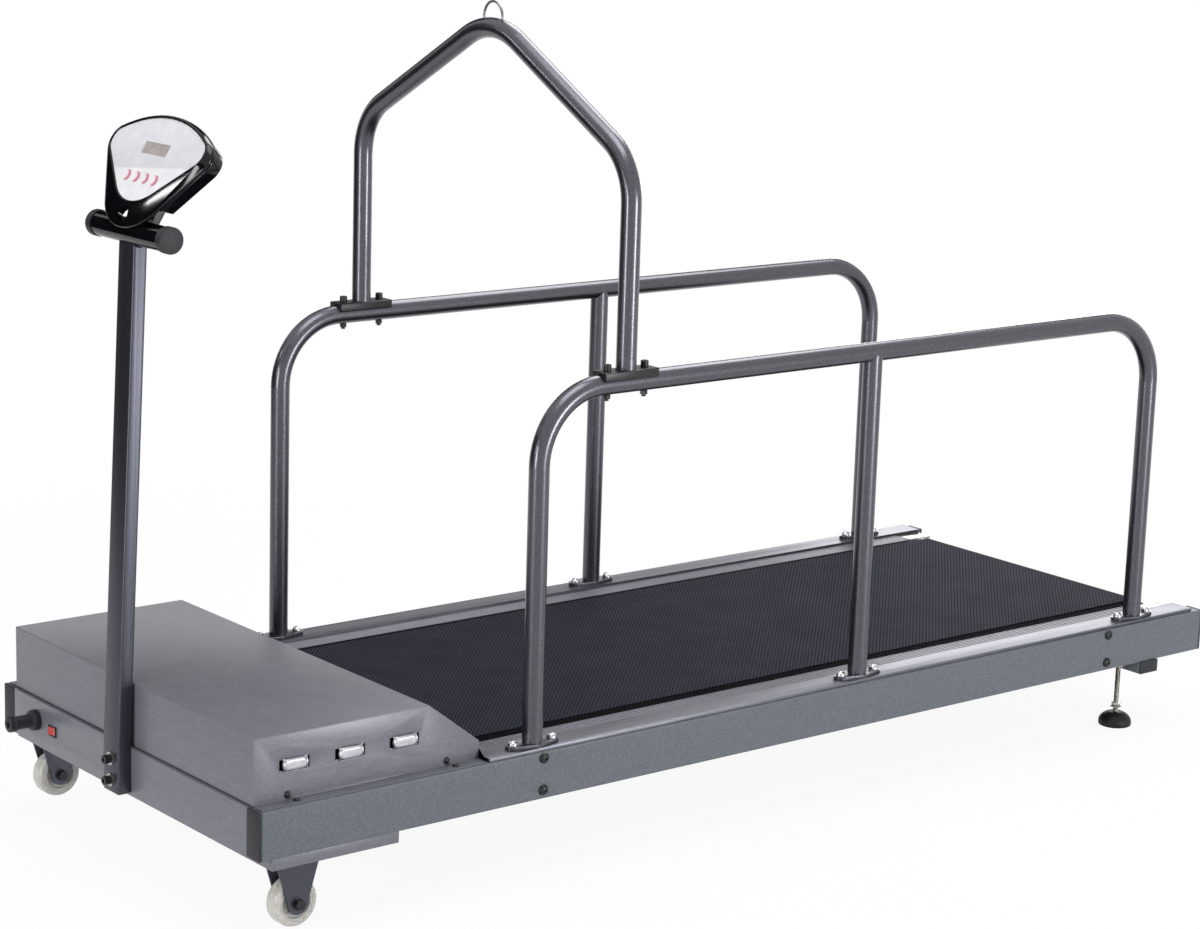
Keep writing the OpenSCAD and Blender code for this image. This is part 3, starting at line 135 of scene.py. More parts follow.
def start_finish(name, **values):
    """A new material with its tree, its shader's inputs with constant values, and Object coordinates."""
    made = bpy.data.materials.new(name)
    made.use_nodes = True
    tree = made.node_tree
    shader = tree.nodes["Principled BSDF"]
    for socket, value in values.items():
        shader.inputs[socket.replace("_", " ")].default_value = value
    place = add(tree, "ShaderNodeTexCoord").outputs["Object"]
    return made, tree, shader.inputs, place


def per_metre(size_mm):
    """Noise scale whose features are about that many millimetres wide."""
    return 1000 / size_mm


print("helpers ready")

# %% [markdown]
# ## Powder coats
# The beams, the post and the tubes are steel, sprayed with a metallic powder and baked. That leaves a
# fine orange peel and tiny glinting flakes: shades that vary over about a millimetre, drawn here at
# about two so that they show. A picture of paint could be wrapped round each piece, but it would need
# unwrapping and would show seams; a noise in Object coordinates needs neither. The beams are blue-grey
# and rather matt. The post is darker, and the tubes have a smoother gunmetal lacquer with a clear coat,
# which mirrors the lamps as long streaks. Black oxide on bolts is finer.

# %% Metallic powder coats
def powder_coat(name, dark, middle, light, roughness, flake_mm, peel, **values):
    """Paint whose shade, roughness and height vary together from flake to flake."""
    made, tree, shader, place = start_finish(name, **values)
    flakes = add(tree, "ShaderNodeTexNoise", {
        "Vector": place, "Scale": per_metre(flake_mm), "Detail": 3.0, "Roughness": 0.7}).outputs["Fac"]
    shades = ((0.34, dark), (0.5, middle), (0.66, light))
    add(tree, "ShaderNodeValToRGB", {"Fac": flakes}, shades, shader["Base Color"])
    add(tree, "ShaderNodeMapRange", {
        "Value": flakes, "To Min": roughness - 0.06, "To Max": roughness + 0.06}, into=shader["Roughness"])
    add(tree, "ShaderNodeBump", {
        "Height": flakes, "Strength": peel, "Distance": 0.00015}, into=shader["Normal"])
    return made


finish = {
    "beam_paint": powder_coat(
        "powder_coat_blue_grey", "#575d64", "#61676e", "#6f757c", 0.45, 2.0, 0.25,
        Specular_IOR_Level=0.35),
    "post_paint": powder_coat(
        "powder_coat_dark_grey", "#404049", "#484952", "#54555e", 0.36, 2.0, 0.2, Metallic=0.85),
    "tube_paint": powder_coat(
        "gunmetal_lacquer", "#48474f", "#525159", "#5e5d65", 0.3, 2.0, 0.05, Metallic=0.9,
        Coat_Weight=0.4, Coat_Roughness=0.2),
    "black_steel": powder_coat(
        "black_oxide_steel", "#131315", "#19191c", "#232327", 0.36, 1.5, 0.15, Metallic=0.3),
}
print("powder coats:", len(finish))

# %% [markdown]
# ## Hood sheet
# The motor hood, the end plate and the tray are folded steel sheet under a thin satin paint. The
# rolling direction still shows through as faint streaks a few millimetres apart. The shader's
# Anisotropic value could give such a sheen on bare metal, but paint hides most of it, so a noise
# stretched along the sheet is enough. A second, finer noise is the grain of the paint.

# %% Satin sheet
# Mix has sockets A and B for numbers and again for colours, so they are picked by their places.
number_a, number_b = 2, 3


def satin_sheet(name, dark, middle, light, streak_mm, grain_mm):
    """Satin paint over rolled sheet."""
    made, tree, shader, place = start_finish(name, Metallic=0.2, Specular_IOR_Level=0.35)
    along = add(tree, "ShaderNodeMapping", {"Vector": place, "Scale": (0.2, 0.2, 1.0)}).outputs["Vector"]
    streaks = add(tree, "ShaderNodeTexNoise", {
        "Vector": along, "Scale": per_metre(streak_mm), "Detail": 4.0, "Roughness": 0.65}).outputs["Fac"]
    grain = add(tree, "ShaderNodeTexNoise", {
        "Vector": place, "Scale": per_metre(grain_mm), "Detail": 3.0}).outputs["Fac"]
    mixed = add(tree, "ShaderNodeMix", {
        "Factor": 0.6, number_a: streaks, number_b: grain}, data_type="FLOAT").outputs[0]
    shades = ((0.36, dark), (0.5, middle), (0.64, light))
    add(tree, "ShaderNodeValToRGB", {"Fac": mixed}, shades, shader["Base Color"])
    add(tree, "ShaderNodeMapRange", {
        "Value": mixed, "To Min": 0.28, "To Max": 0.4}, into=shader["Roughness"])
    add(tree, "ShaderNodeBump", {
        "Height": grain, "Strength": 0.12, "Distance": 0.0001}, into=shader["Normal"])
    return made


finish["hood_paint"] = satin_sheet("satin_painted_sheet_steel", "#6b6b74", "#72727b", "#7b7b84", 5, 2.2)
print("hood sheet ready")

# %% [markdown]
# ## Plastics and rubber
# Caps, gland and switch frame are moulded nylon with a fine spark-eroded grain. The console is gloss
# ABS, which is smooth and mirrors the lamps. The buttons are soft silicone and the rocker is
# polycarbonate, both coloured right through. The pads are rubber, almost without gloss, and the wheels
# are a clear, cream polyurethane that lets a little light in. The deck board is faced with a black
# phenolic film. Each could have nodes of its own, but they differ mostly in colour, gloss and grain, so
# one function makes them all.

# %% Moulded plastics
def moulded(name, colour, shade, roughness, grain_mm, depth_mm, **values):
    """Plastic or rubber with a moulded grain of that width and depth."""
    made, tree, shader, place = start_finish(name, **values)
    grain = add(tree, "ShaderNodeTexNoise", {
        "Vector": place, "Scale": per_metre(grain_mm), "Detail": 3.0}).outputs["Fac"]
    add(tree, "ShaderNodeValToRGB", {"Fac": grain}, ((0.35, shade), (0.65, colour)), shader["Base Color"])
    add(tree, "ShaderNodeMapRange", {
        "Value": grain, "To Min": roughness * 0.85, "To Max": roughness * 1.15}, into=shader["Roughness"])
    add(tree, "ShaderNodeBump", {
        "Height": grain, "Strength": 0.3, "Distance": depth_mm / 1000}, into=shader["Normal"])
    return made


finish.update({
    "cap_plastic": moulded(
        "moulded_nylon_black", "#2c2c31", "#25252a", 0.5, 1.2, 0.08, Specular_IOR_Level=0.3),
    "console_black": moulded(
        "gloss_abs_black", "#0c0c10", "#08080b", 0.1, 30, 0.02, Specular_IOR_Level=0.3),
    "button_pink": moulded("moulded_silicone_pink", "#d5869a", "#c87a8e", 0.45, 1.0, 0.05),
    "rocker_red": moulded("moulded_polycarbonate_red", "#c4342c", "#a92a24", 0.25, 4, 0.02),
    "display_grey": moulded(
        "display_window", "#b3aaa8", "#a49a98", 0.16, 8, 0.01, Specular_IOR_Level=0.3),
    "pad_rubber": moulded(
        "moulded_rubber_black", "#19191c", "#121215", 0.5, 1.5, 0.1, Specular_IOR_Level=0.25),
    "circuit_board": moulded("glass_epoxy_green", "#2f5f43", "#26523a", 0.4, 1.0, 0.02),
    "wheel_plastic": moulded(
        "translucent_polyurethane", "#dbdad5", "#c9c8c2", 0.22, 6, 0.03,
        Subsurface_Weight=0.35, Subsurface_Scale=0.006, Transmission_Weight=0.15),
    "deck_board": moulded(
        "phenolic_film_black", "#121215", "#0c0c0f", 0.8, 3, 0.05, Specular_IOR_Level=0.02),
})
print("finishes so far:", len(finish))

# %% [markdown]
# ## Running belt
# The belt is PVC on a woven backing, with a fine crossed rib moulded into its top. The ribs could be
# modelled, but there would be thousands of them, so two wave textures at right angles across each other
# give the small diamonds. The valleys between the ribs are painted darker: that is painted shade. Their
# bands are diagonal in height too, so that they follow the belt down round the rear roller. On such belts
# the ribs are about 2 mm apart; they are drawn at 5 so that they show.

# %% Ribbed PVC belt
# A wave texture goes through 20 radians in one unit of its coordinates.
wave_radians = 20


def wave_scale(pitch_mm):
    """Scale of a wave texture whose bands repeat at that pitch along one axis."""
    return per_metre(pitch_mm) * math.tau / wave_radians


def ribbed_belt(name, rib_mm, wear_mm):
    """Crossed ribs with painted shade in their valleys, and soft patches of wear."""
    made, tree, shader, place = start_finish(name, Specular_IOR_Level=0.03)
    waves = []
    # Diagonal bands go half as fast along each axis, so on the flat their scale is root two times larger.
    for across in (1, -1):
        crossed = add(tree, "ShaderNodeMapping", {"Vector": place, "Scale": (1, across, -1)})
        waves.append(add(tree, "ShaderNodeTexWave", {
            "Vector": crossed.outputs["Vector"], "Scale": wave_scale(rib_mm) * math.sqrt(2),
            "Distortion": 0.4, "Detail": 1.0}, bands_direction="DIAGONAL").outputs["Fac"])
    ribs = add(tree, "ShaderNodeMath", {0: waves[0], 1: waves[1]}, operation="MINIMUM").outputs[0]
    wear = add(tree, "ShaderNodeTexNoise", {
        "Vector": place, "Scale": per_metre(wear_mm), "Detail": 3.0}).outputs["Fac"]
    shade = add(tree, "ShaderNodeMix", {
        "Factor": 0.3, number_a: ribs, number_b: wear}, data_type="FLOAT").outputs[0]
    # Low values, in the rib valleys, get the dark end of this ramp: painted shade. The wear noise shifts
    # the tone at random.
    shades = ((0.05, "#15151c"), (0.45, "#262631"), (0.85, "#41414f"))
    add(tree, "ShaderNodeValToRGB", {"Fac": shade}, shades, shader["Base Color"])
    add(tree, "ShaderNodeMapRange", {
        "Value": ribs, "To Min": 0.75, "To Max": 0.6}, into=shader["Roughness"])
    add(tree, "ShaderNodeBump", {
        "Height": ribs, "Strength": 0.4, "Distance": 0.0005}, into=shader["Normal"])
    return made


drawn_rib_mm = 5
finish["belt_rubber"] = ribbed_belt("ribbed_pvc_belt", drawn_rib_mm, 60)
print("belt ribs drawn every", drawn_rib_mm, "mm")

# %% [markdown]
# ## Bare metals
# Rollers, the motor's shaft and the eye on the arch are bare steel. Axles, studs and adjusters are zinc
# plated, the base plate bolts are chromed, the flywheel is cast iron, and the louvres are brushed
# aluminium. Their colour comes mostly from what they mirror. Tools leave streaks. The Anisotropic value
# could smear what is mirrored, but it needs a direction on every face, so a noise is stretched instead:
# along the rollers and along the louvres, and hardly at all on plated and cast metal.

# %% Bare metals
def drawn_metal(name, dark, light, roughness, streak_mm, stretch):
    """Metal with streaks of that width; a small number in stretch lengthens them along that axis."""
    made, tree, shader, place = start_finish(name, Metallic=1.0)
    along = add(tree, "ShaderNodeMapping", {"Vector": place, "Scale": stretch}).outputs["Vector"]
    streaks = add(tree, "ShaderNodeTexNoise", {
        "Vector": along, "Scale": per_metre(streak_mm), "Detail": 4.0, "Roughness": 0.6}).outputs["Fac"]
    add(tree, "ShaderNodeValToRGB", {"Fac": streaks}, ((0.35, dark), (0.65, light)), shader["Base Color"])
    add(tree, "ShaderNodeMapRange", {
        "Value": streaks, "To Min": roughness * 0.8, "To Max": roughness * 1.2}, into=shader["Roughness"])
    add(tree, "ShaderNodeBump", {
        "Height": streaks, "Strength": 0.1, "Distance": 0.00005}, into=shader["Normal"])
    return made


even = (1.0, 1.0, 1.0)
finish.update({
    "bare_steel": drawn_metal("turned_steel", "#6f7176", "#888a8f", 0.3, 1.5, (1.0, 0.1, 1.0)),
    "zinc_plate": drawn_metal("zinc_plated_steel", "#9b9a95", "#b5b4af", 0.28, 3, (1.0, 1.0, 0.5)),
    "bolt_chrome": drawn_metal("chrome_plated_steel", "#b4b5b9", "#c8c9cd", 0.12, 3, even),
    "louvre_aluminium": drawn_metal("brushed_aluminium", "#96969b", "#b9b8be", 0.4, 2, (0.1, 1.0, 1.0)),
    "cast_iron": drawn_metal("machined_cast_iron", "#54565a", "#65676c", 0.5, 1.5, even),
})
print("finishes:", len(finish))

# %% [markdown]
# ## Grooved foot rails
# The anodised foot rails have a plain outer strip and a lower inner strip with fine grooves for grip,
# which looks darker because its grooves are painted in shade. The two strips could be two materials,
# but they lie at fixed distances from the middle of the machine, so one ramp over the absolute y value
# colours both. A dark line in that ramp at the step between the strips is painted shade. The workshop
# model has its grooves 6 mm apart, which is coarse enough to show; the real ones may be finer. A wave of
# the same spacing darkens them, as painted shade in the grooves. The outer strip has long streaks from
# the press that the bar was pushed through.

# %% Grooved aluminium
colour_a, colour_b, colour_result = 6, 7, 2


def grooved_aluminium(name, pitch_mm, streak_mm, inner_share):
    """Anodised rail, grooved over the inner share of its width."""
    made, tree, shader, place = start_finish(name, Metallic=1.0)
    low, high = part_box("foot_rail_right")
    across = add(tree, "ShaderNodeSeparateXYZ", {"Vector": place}).outputs["Y"]
    outwards = add(tree, "ShaderNodeMath", {0: across}, operation="ABSOLUTE").outputs[0]
    share = add(tree, "ShaderNodeMapRange", {
        "Value": outwards, "From Min": low.y, "From Max": high.y}).outputs["Result"]
    # The dark stop at the inner share is painted shade along the step between the two strips.
    strip = add(tree, "ShaderNodeValToRGB", {"Fac": share}, (
        (0.0, "#75757e"), (0.45, "#7f7f88"), (inner_share, "#4a4a52"), (0.5, "#777781"), (1.0, "#777781")))
    grooves = add(tree, "ShaderNodeTexWave", {
        "Vector": place, "Scale": wave_scale(pitch_mm)}, bands_direction="Y").outputs["Fac"]
    along = add(tree, "ShaderNodeMapping", {"Vector": place, "Scale": (0.02, 1.0, 1.0)}).outputs["Vector"]
    streaks = add(tree, "ShaderNodeTexNoise", {
        "Vector": along, "Scale": per_metre(streak_mm), "Detail": 4.0}).outputs["Fac"]
    inner = add(tree, "ShaderNodeMath", {0: share, 1: inner_share}, operation="LESS_THAN").outputs[0]
    relief = add(tree, "ShaderNodeMix", {
        "Factor": inner, number_a: streaks, number_b: grooves}, data_type="FLOAT").outputs[0]
    # Low relief is darker: in the inner strip this is painted shade in the grooves, in the outer strip it
    # is the press streaks.
    shade = add(tree, "ShaderNodeValToRGB", {"Fac": relief}, ((0.2, "#c4c4c4"), (0.7, "#ffffff")))
    tint = add(tree, "ShaderNodeMix", {
        "Factor": 1.0, colour_a: strip.outputs["Color"], colour_b: shade.outputs["Color"]},
        data_type="RGBA", blend_type="MULTIPLY")
    tree.links.new(tint.outputs[colour_result], shader["Base Color"])
    add(tree, "ShaderNodeMapRange", {
        "Value": relief, "To Min": 0.44, "To Max": 0.32}, into=shader["Roughness"])
    add(tree, "ShaderNodeBump", {
        "Height": relief, "Strength": 0.2, "Distance": 0.0003}, into=shader["Normal"])
    return made


drawn_groove_mm = 6
finish["rail_aluminium"] = grooved_aluminium("anodised_aluminium", drawn_groove_mm, 2, 0.47)
print("rail grooves drawn every", drawn_groove_mm, "mm")

# %% [markdown]
# ## Printed console film
# The console's white face is a printed polyester film: its upper three fifths are tinted silver-grey,
# and a slightly slanting edge above the buttons leaves the lower field white. The print could be an
# image on a UV map, but two plain fields need no picture. The tint follows the slope of the face, so
# the height up that slope is worked out first and then sent through a colour ramp.

# %% Console film
def printed_film(name, tilt, slant, cloud_mm):
    """White film with a grey upper field, on a face that leans back by a tilt."""
    made, tree, shader, place = start_finish(name, Roughness=0.35, Specular_IOR_Level=0.4)
    low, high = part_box("console_face")
    up_face = Vector((math.sin(tilt), 0, math.cos(tilt)))
    rise = add(tree, "ShaderNodeVectorMath", {
        0: place, 1: up_face + Vector((0, slant, 0))}, operation="DOT_PRODUCT").outputs["Value"]
    share = add(tree, "ShaderNodeMapRange", {
        "Value": rise, "From Min": low.dot(up_face), "From Max": high.dot(up_face)}).outputs["Result"]
    field = add(tree, "ShaderNodeValToRGB", {"Fac": share}, (
        (0.0, "#ebebee"), (0.39, "#eaeaec"), (0.41, "#d5d5db"), (0.75, "#dcdce1"), (1.0, "#e2e2e7")))
    cloud = add(tree, "ShaderNodeTexNoise", {
        "Vector": place, "Scale": per_metre(cloud_mm), "Detail": 2.0}).outputs["Fac"]
    fleck = add(tree, "ShaderNodeValToRGB", {"Fac": cloud}, ((0.3, "#f4f4f6"), (0.7, "#ffffff")))
    tint = add(tree, "ShaderNodeMix", {
        "Factor": 1.0, colour_a: field.outputs["Color"], colour_b: fleck.outputs["Color"]},
        data_type="RGBA", blend_type="MULTIPLY")
    tree.links.new(tint.outputs[colour_result], shader["Base Color"])
    return made


face_tilt = math.radians(32)
finish["face_white"] = printed_film("printed_polyester_film", face_tilt, 0.11, 18)
print("the film's grey field starts at 0.4 of its height")

# %% [markdown]
# ## Paint the workshop model
# Every piece that comes from the workshop model gets its finish in place of the flat colour that it was
# packed with. They could be painted one by one, but a loop that looks up each finish in the packed
# record forgets none.

# %% Assign finishes
for node, piece in frame["nodes"].items():
    piece.data.materials.clear()
    piece.data.materials.append(finish[slot_of[node]])
print("painted:", len(frame["nodes"]))

# %% [markdown]
# ## Edges and smooth tubes
# Workshop solids have knife edges and loose triangles. A real folded or extruded piece has a small
# radius that catches the light. A Bevel modifier could round every sharp edge, but it would round those
# of bolt holes too. So a copy of each such piece has its triangles merged and its flat faces cleaned,
# and only its long sharp edges are rounded. Copies of tubes, thin sheets and hood screws are only
# merged and shaded smooth. The saddles of the arch and the console's bracket are black steel.

# %% Copies of workshop pieces
weld_gap = 0.00001
smooth_angle = math.radians(32)


def only(piece):
    """Leaves one object selected and active."""
    bpy.ops.object.select_all(action="DESELECT")
    piece.select_set(True)
    bpy.context.view_layer.objects.active = piece


def open_copy(node, name):
    """A copy of a node with its triangles merged, left in edit mode with everything selected."""
    piece = bpy.data.objects.new(name, frame["nodes"][node].data.copy())
    bpy.context.scene.collection.objects.link(piece)
    only(piece)
    bpy.ops.mesh.customdata_custom_splitnormals_clear()
    bpy.ops.object.mode_set(mode="EDIT")
    bpy.ops.mesh.select_all(action="SELECT")
    bpy.ops.mesh.remove_doubles(threshold=weld_gap)
    return piece


def close_smooth():
    """Leaves edit mode and shades the piece smooth, except across its sharp edges."""
    bpy.ops.object.mode_set(mode="OBJECT")
    bpy.ops.object.shade_smooth_by_angle(angle=smooth_angle)


def adopt(piece, node, slot=None):
    """Lets a piece stand for a node of the model: it rides on its body and has its finish, or another."""
    slot = slot or slot_of[node]
    piece.data.materials.clear()
    piece.data.materials.append(finish[slot])
    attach(piece, frame["nodes"][node]["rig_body"])
    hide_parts(node)


print("copies can be opened, closed and adopted")

# %% Softened copies
flat_angle, sharp_angle = math.radians(0.6), math.radians(35)


def softened(node, radius_mm=0.0, least_edge_mm=8.0, segments=3, slot=None):
    """A merged copy of a node with its long sharp edges rounded."""
    piece = open_copy(node, node + "_soft")
    if radius_mm:
        bpy.ops.mesh.dissolve_limited(angle_limit=flat_angle)
        bpy.ops.mesh.select_all(action="DESELECT")
        bpy.ops.mesh.select_mode(type="EDGE")
        bpy.ops.mesh.edges_select_sharp(sharpness=sharp_angle)
        bpy.ops.object.mode_set(mode="OBJECT")
        points = piece.data.vertices
        for edge in piece.data.edges:
            a, b = (points[i].co for i in edge.vertices)
            if (a - b).length < least_edge_mm / 1000:
                edge.select = False
        bpy.ops.object.mode_set(mode="EDIT")
        bpy.ops.mesh.bevel(
            offset=radius_mm / 1000, segments=segments, affect="EDGES", clamp_overlap=False)
    close_smooth()
    adopt(piece, node, slot)
    return piece


edge_radii_mm = {
    "side_beam_left": 2.5, "side_beam_right": 2.5, "motor_hood": 1.2, "front_end_plate": 0.8,
    "motor_tray": 0.8, "rear_foot_crossmember": 1.5, "console_post": 2.5, "post_base_plates": 0.8,
    "foot_rail_left": 0.4, "foot_rail_right": 0.4, "roller_axle_blocks": 0.8, "tube_end_caps": 0.8,
    "caster_brackets": 0.6, "switch_bezel": 0.4, "running_deck": 1.0,
}
smooth_nodes = (
    "handrail_left", "handrail_right", "rail_mid_posts", "leash_arch", "leash_eye", "console_crossbar",
    "running_belt", "console_face", "hood_screws",
)
soft = [softened(node, radius) for node, radius in edge_radii_mm.items()]
soft += [softened(node, radius, slot="black_steel")
         for node, radius in (("arch_saddles", 1.2), ("console_bracket", 0.8))]
soft += [softened(node, 1.6, least_edge_mm=2.0, segments=4) for node in ("console_bezel", "console_back")]
soft += [softened(node) for node in smooth_nodes]
print("softened copies:", len(soft))

# %% [markdown]
# ## Turned pieces
# Caster wheels, foot pads, studs, bolt heads and the cable gland are round. Each is drawn as a section,
# point by point from a single vertex, and spun round its axis, as on a lathe. A Screw modifier could do
# the same, but the Spin tool leaves a plain mesh that can be edited further at once. The doubled seam
# is merged and the faces are turned outwards.

# %% Lathe
seam_gap = 0.000004


def turned(name, centre, axis, section_mm, steps=48):
    """Spins a section of (radius, height) points in millimetres round an axis through a point."""
    axis = Vector(axis)
    side = axis.orthogonal().normalized()
    points = [Vector(centre) + (side * r + axis * h) / 1000 for r, h in section_mm]
    bpy.ops.object.select_all(action="DESELECT")
    bpy.ops.mesh.primitive_plane_add(size=0.001, location=(0, 0, 0))
    piece = bpy.context.active_object
    piece.name = name
    bpy.ops.object.mode_set(mode="EDIT")
    bpy.ops.mesh.select_mode(type="VERT")
    bpy.ops.mesh.select_all(action="SELECT")
    bpy.ops.mesh.merge(type="CENTER")
    bpy.ops.transform.translate(value=points[0])
    for start, end in zip(points, points[1:]):
        bpy.ops.mesh.extrude_region_move(TRANSFORM_OT_translate={"value": end - start})
    bpy.ops.mesh.select_all(action="SELECT")
    bpy.ops.mesh.spin(steps=steps, angle=math.tau, center=centre, axis=axis)
    bpy.ops.mesh.select_all(action="SELECT")
    bpy.ops.mesh.remove_doubles(threshold=seam_gap)
    bpy.ops.mesh.normals_make_consistent(inside=False)
    close_smooth()
    return piece


def arc_mm(centre_r, centre_h, radius, start, end, count=6):
    """Points of an arc in a section, with its angles in degrees."""
    angles = [math.radians(start + (end - start) * i / count) for i in range(count + 1)]
    return [(centre_r + radius * math.cos(a), centre_h + radius * math.sin(a)) for a in angles]


def joined(name, pieces):
    """Makes several pieces one mesh."""
    only(pieces[0])
    for piece in pieces[1:]:
        piece.select_set(True)
    bpy.ops.object.join()
    pieces[0].name = name
    return pieces[0]


print("lathe ready")

# %% [markdown]
# ## Caster wheels
# A caster wheel of this kind is cast in clear, cream-tinted polyurethane round a steel bearing. Its
# sides have stepped rings. They could be separate rings on a disc, but one turned section makes the
# wheel a single closed skin. The section is drawn for one side and mirrored, and the faces next to the
# axle are given the steel.

# %% Caster wheels
bearing_mm = 9.5
wheel_half_mm = [(32.2, 0), (32.5, 0.7)] + arc_mm(27.5, 7, 5, 0, 90) + [
    (24.8, 12), (24.4, 11.4), (23.2, 11.4), (22.8, 12), (21.6, 12), (21, 11.4), (21, 8.6), (20.4, 8),
    (17.6, 8), (17.1, 8.6), (15.5, 8.6), (15, 8), (10.6, 8), (10, 8.6), (10, 11.4), (9.4, 12), (5, 12),
    (4.1, 11.2), (4.1, 0)]
wheel_section_mm = wheel_half_mm + [(r, -h) for r, h in reversed(wheel_half_mm)]
for side in ("left", "right"):
    node = "caster_wheel_" + side
    low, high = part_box(node)
    centre = (low + high) / 2
    wheel = turned(node + "_rings", centre, (0, 1, 0), wheel_section_mm, 64)
    adopt(wheel, node)
    wheel.data.materials.append(finish["bare_steel"])
    for face in wheel.data.polygons:
        away = face.center - centre
        face.material_index = int(math.hypot(away.x, away.z) < bearing_mm / 1000)
    print(wheel.name, len(wheel.data.polygons), "faces")

# %% [markdown]
# ## Levelling feet
# Each foot is a moulded rubber dome on a zinc plated stud with a rolled thread of 1.25 mm pitch. The
# thread could be a true helix, but a zigzag in the turned section is simpler and looks the same at this
# size. A flanged hexagon nut locks it: a six-sided cylinder with bevelled rims on a turned flange.

# %% Hexagons
def corner_radius(across_mm):
    """Radius in metres through the corners of a hexagon of that width across its flats."""
    return across_mm / 2000 / math.cos(math.radians(30))


def hexagon(name, centre, across_mm, height_mm, ease_mm=0.6):
    """A hexagon nut of that width across its flats, with its corners eased."""
    bpy.ops.object.select_all(action="DESELECT")
    bpy.ops.mesh.primitive_cylinder_add(
        vertices=6, radius=corner_radius(across_mm), depth=height_mm / 1000, location=centre)
    made = bpy.context.active_object
    made.name = name
    bpy.ops.object.transform_apply(location=True, rotation=True, scale=True)
    bpy.ops.object.mode_set(mode="EDIT")
    bpy.ops.mesh.select_all(action="SELECT")
    bpy.ops.mesh.bevel(offset=ease_mm / 1000, segments=2, affect="EDGES")
    close_smooth()
    return made


print("hexagons ready")

# %% Levelling feet
pitch_mm, thread_from_mm, thread_points = 1.25, 11, 206
thread_mm = [(4.0 if i % 2 else 3.4, thread_from_mm + pitch_mm / 2 * i) for i in range(thread_points)]
stud_section_mm = [(0, 10), (3.2, 10)] + thread_mm + [(3.2, 140), (0, 140)]
flange_section_mm = [
    (4.05, 30), (8.6, 30), (9, 30.5), (9, 31.5), (8.2, 32), (4.05, 32), (4.05, 30)]
lock_middle_mm = 35
dome_angles = [math.radians(a) for a in range(0, 91, 6)]
dome_mm = [(9 + 17 * math.cos(a) ** 1.4, 6 + 16 * math.sin(a)) for a in dome_angles]
pad_section_mm = [(0, 0.8), (7, 0.8), (7.8, 0), (23.6, 0), (25.4, 0.7), (26, 2)] + dome_mm + [
    (8.4, 21.8), (4.1, 21.8), (4.1, 10), (0, 10)]
for side in ("left", "right"):
    low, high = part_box("foot_pad_" + side)
    base = Vector(((low.x + high.x) / 2, (low.y + high.y) / 2, 0))
    pad = turned("foot_pad_" + side + "_dome", base, (0, 0, 1), pad_section_mm, 64)
    adopt(pad, "foot_pad_" + side)
    stud = turned("stud", base, (0, 0, 1), stud_section_mm, 24)
    flange = turned("flange", base, (0, 0, 1), flange_section_mm, 32)
    lock = hexagon("lock", base + Vector((0, 0, lock_middle_mm / 1000)), across_mm=13, height_mm=6)
    foot = joined("foot_stud_" + side + "_threaded", [stud, flange, lock])
    adopt(foot, "foot_stud_" + side)
    print(pad.name, foot.name)

# %% [markdown]
# ## Bolt heads
# The bolts show only their heads: domed ones in chrome on the base plates and in black on the beams,
# and socket caps on the saddles. One head of each kind is turned. Its hexagon socket could be inset,
# but a dome has no six-sided face to inset, so it is cut with a boolean. The workshop bolts give the
# places: their shanks stay, their plain heads are cut off, and copies of the new head take their seats.

# %% Heads with sockets
def dome_mm_of(radius, height):
    """Section of a domed head with a low rim."""
    rim = height * 0.2
    sweep = [math.radians(a) for a in range(0, 91, 15)]
    return [(0, 0), (radius, 0)] + [
        (radius * math.cos(a), rim + (height - rim) * math.sin(a)) for a in sweep]


def socket_head(name, section_mm, socket_mm, depth_mm):
    """A turned bolt head that stands on z = 0, with a hexagon socket in its top."""
    head = turned(name, (0, 0, 0), (0, 0, 1), section_mm, 32)
    top = max(h for r, h in section_mm) / 1000
    bpy.ops.object.select_all(action="DESELECT")
    bpy.ops.mesh.primitive_cylinder_add(
        vertices=6, radius=corner_radius(socket_mm), depth=2 * depth_mm / 1000, location=(0, 0, top))
    tool = bpy.context.active_object
    only(head)
    cut = head.modifiers.new("socket", "BOOLEAN")
    cut.object = tool
    cut.operation = "DIFFERENCE"
    bpy.ops.object.modifier_apply(modifier="socket")
    bpy.data.objects.remove(tool)
    return head


print("heads can be turned and socketed")

# %% Seats for the heads
def solids_in(node):
    """Lowest and highest corners of each separate solid in a node."""
    open_copy(node, "solids")
    bpy.ops.mesh.separate(type="LOOSE")
    bpy.ops.object.mode_set(mode="OBJECT")
    boxes = []
    for part in list(bpy.context.selected_objects):
        points = [v.co for v in part.data.vertices]
        boxes.append([Vector(end(p[i] for p in points) for i in range(3)) for end in (min, max)])
        bpy.data.objects.remove(part)
    return boxes


def new_heads(node, head, seats):
    """Cuts the heads off a node's bolts at their seats and puts copies of a head there."""
    rest = open_copy(node, node + "_rest")
    for height, direction in {(round(seat.dot(Vector(way)), 5), way) for seat, way in seats}:
        bpy.ops.mesh.select_all(action="SELECT")
        bpy.ops.mesh.bisect(
            plane_co=Vector(direction) * height, plane_no=direction, clear_outer=True, use_fill=True)
    close_smooth()
    pieces = [rest]
    for seat, direction in seats:
        copy = bpy.data.objects.new(node + "_head", head.data.copy())
        bpy.context.scene.collection.objects.link(copy)
        turn = Vector((0, 0, 1)).rotation_difference(Vector(direction)).to_matrix().to_4x4()
        copy.data.transform(Matrix.Translation(seat) @ turn)
        pieces.append(copy)
    bpy.data.objects.remove(head)
    made = joined(node + "_socketed", pieces)
    adopt(made, node)
    print(made.name, len(seats), "heads")


print("heads can be seated")

# %% Bolt heads
least_bolt_mm, least_beam_bolt_mm = 12, 20
chrome_head_mm, cap_head_mm = 7, 9


def seats_on(node, height_mm):
    """Seats of the heads that a node's bolts carry on their upper ends; nuts are shorter than bolts."""
    bolts = [(low, high) for low, high in solids_in(node) if (high.z - low.z) * 1000 > least_bolt_mm]
    return [(Vector(((low.x + high.x) / 2, (low.y + high.y) / 2, high.z - height_mm / 1000)), (0, 0, 1))
            for low, high in bolts]


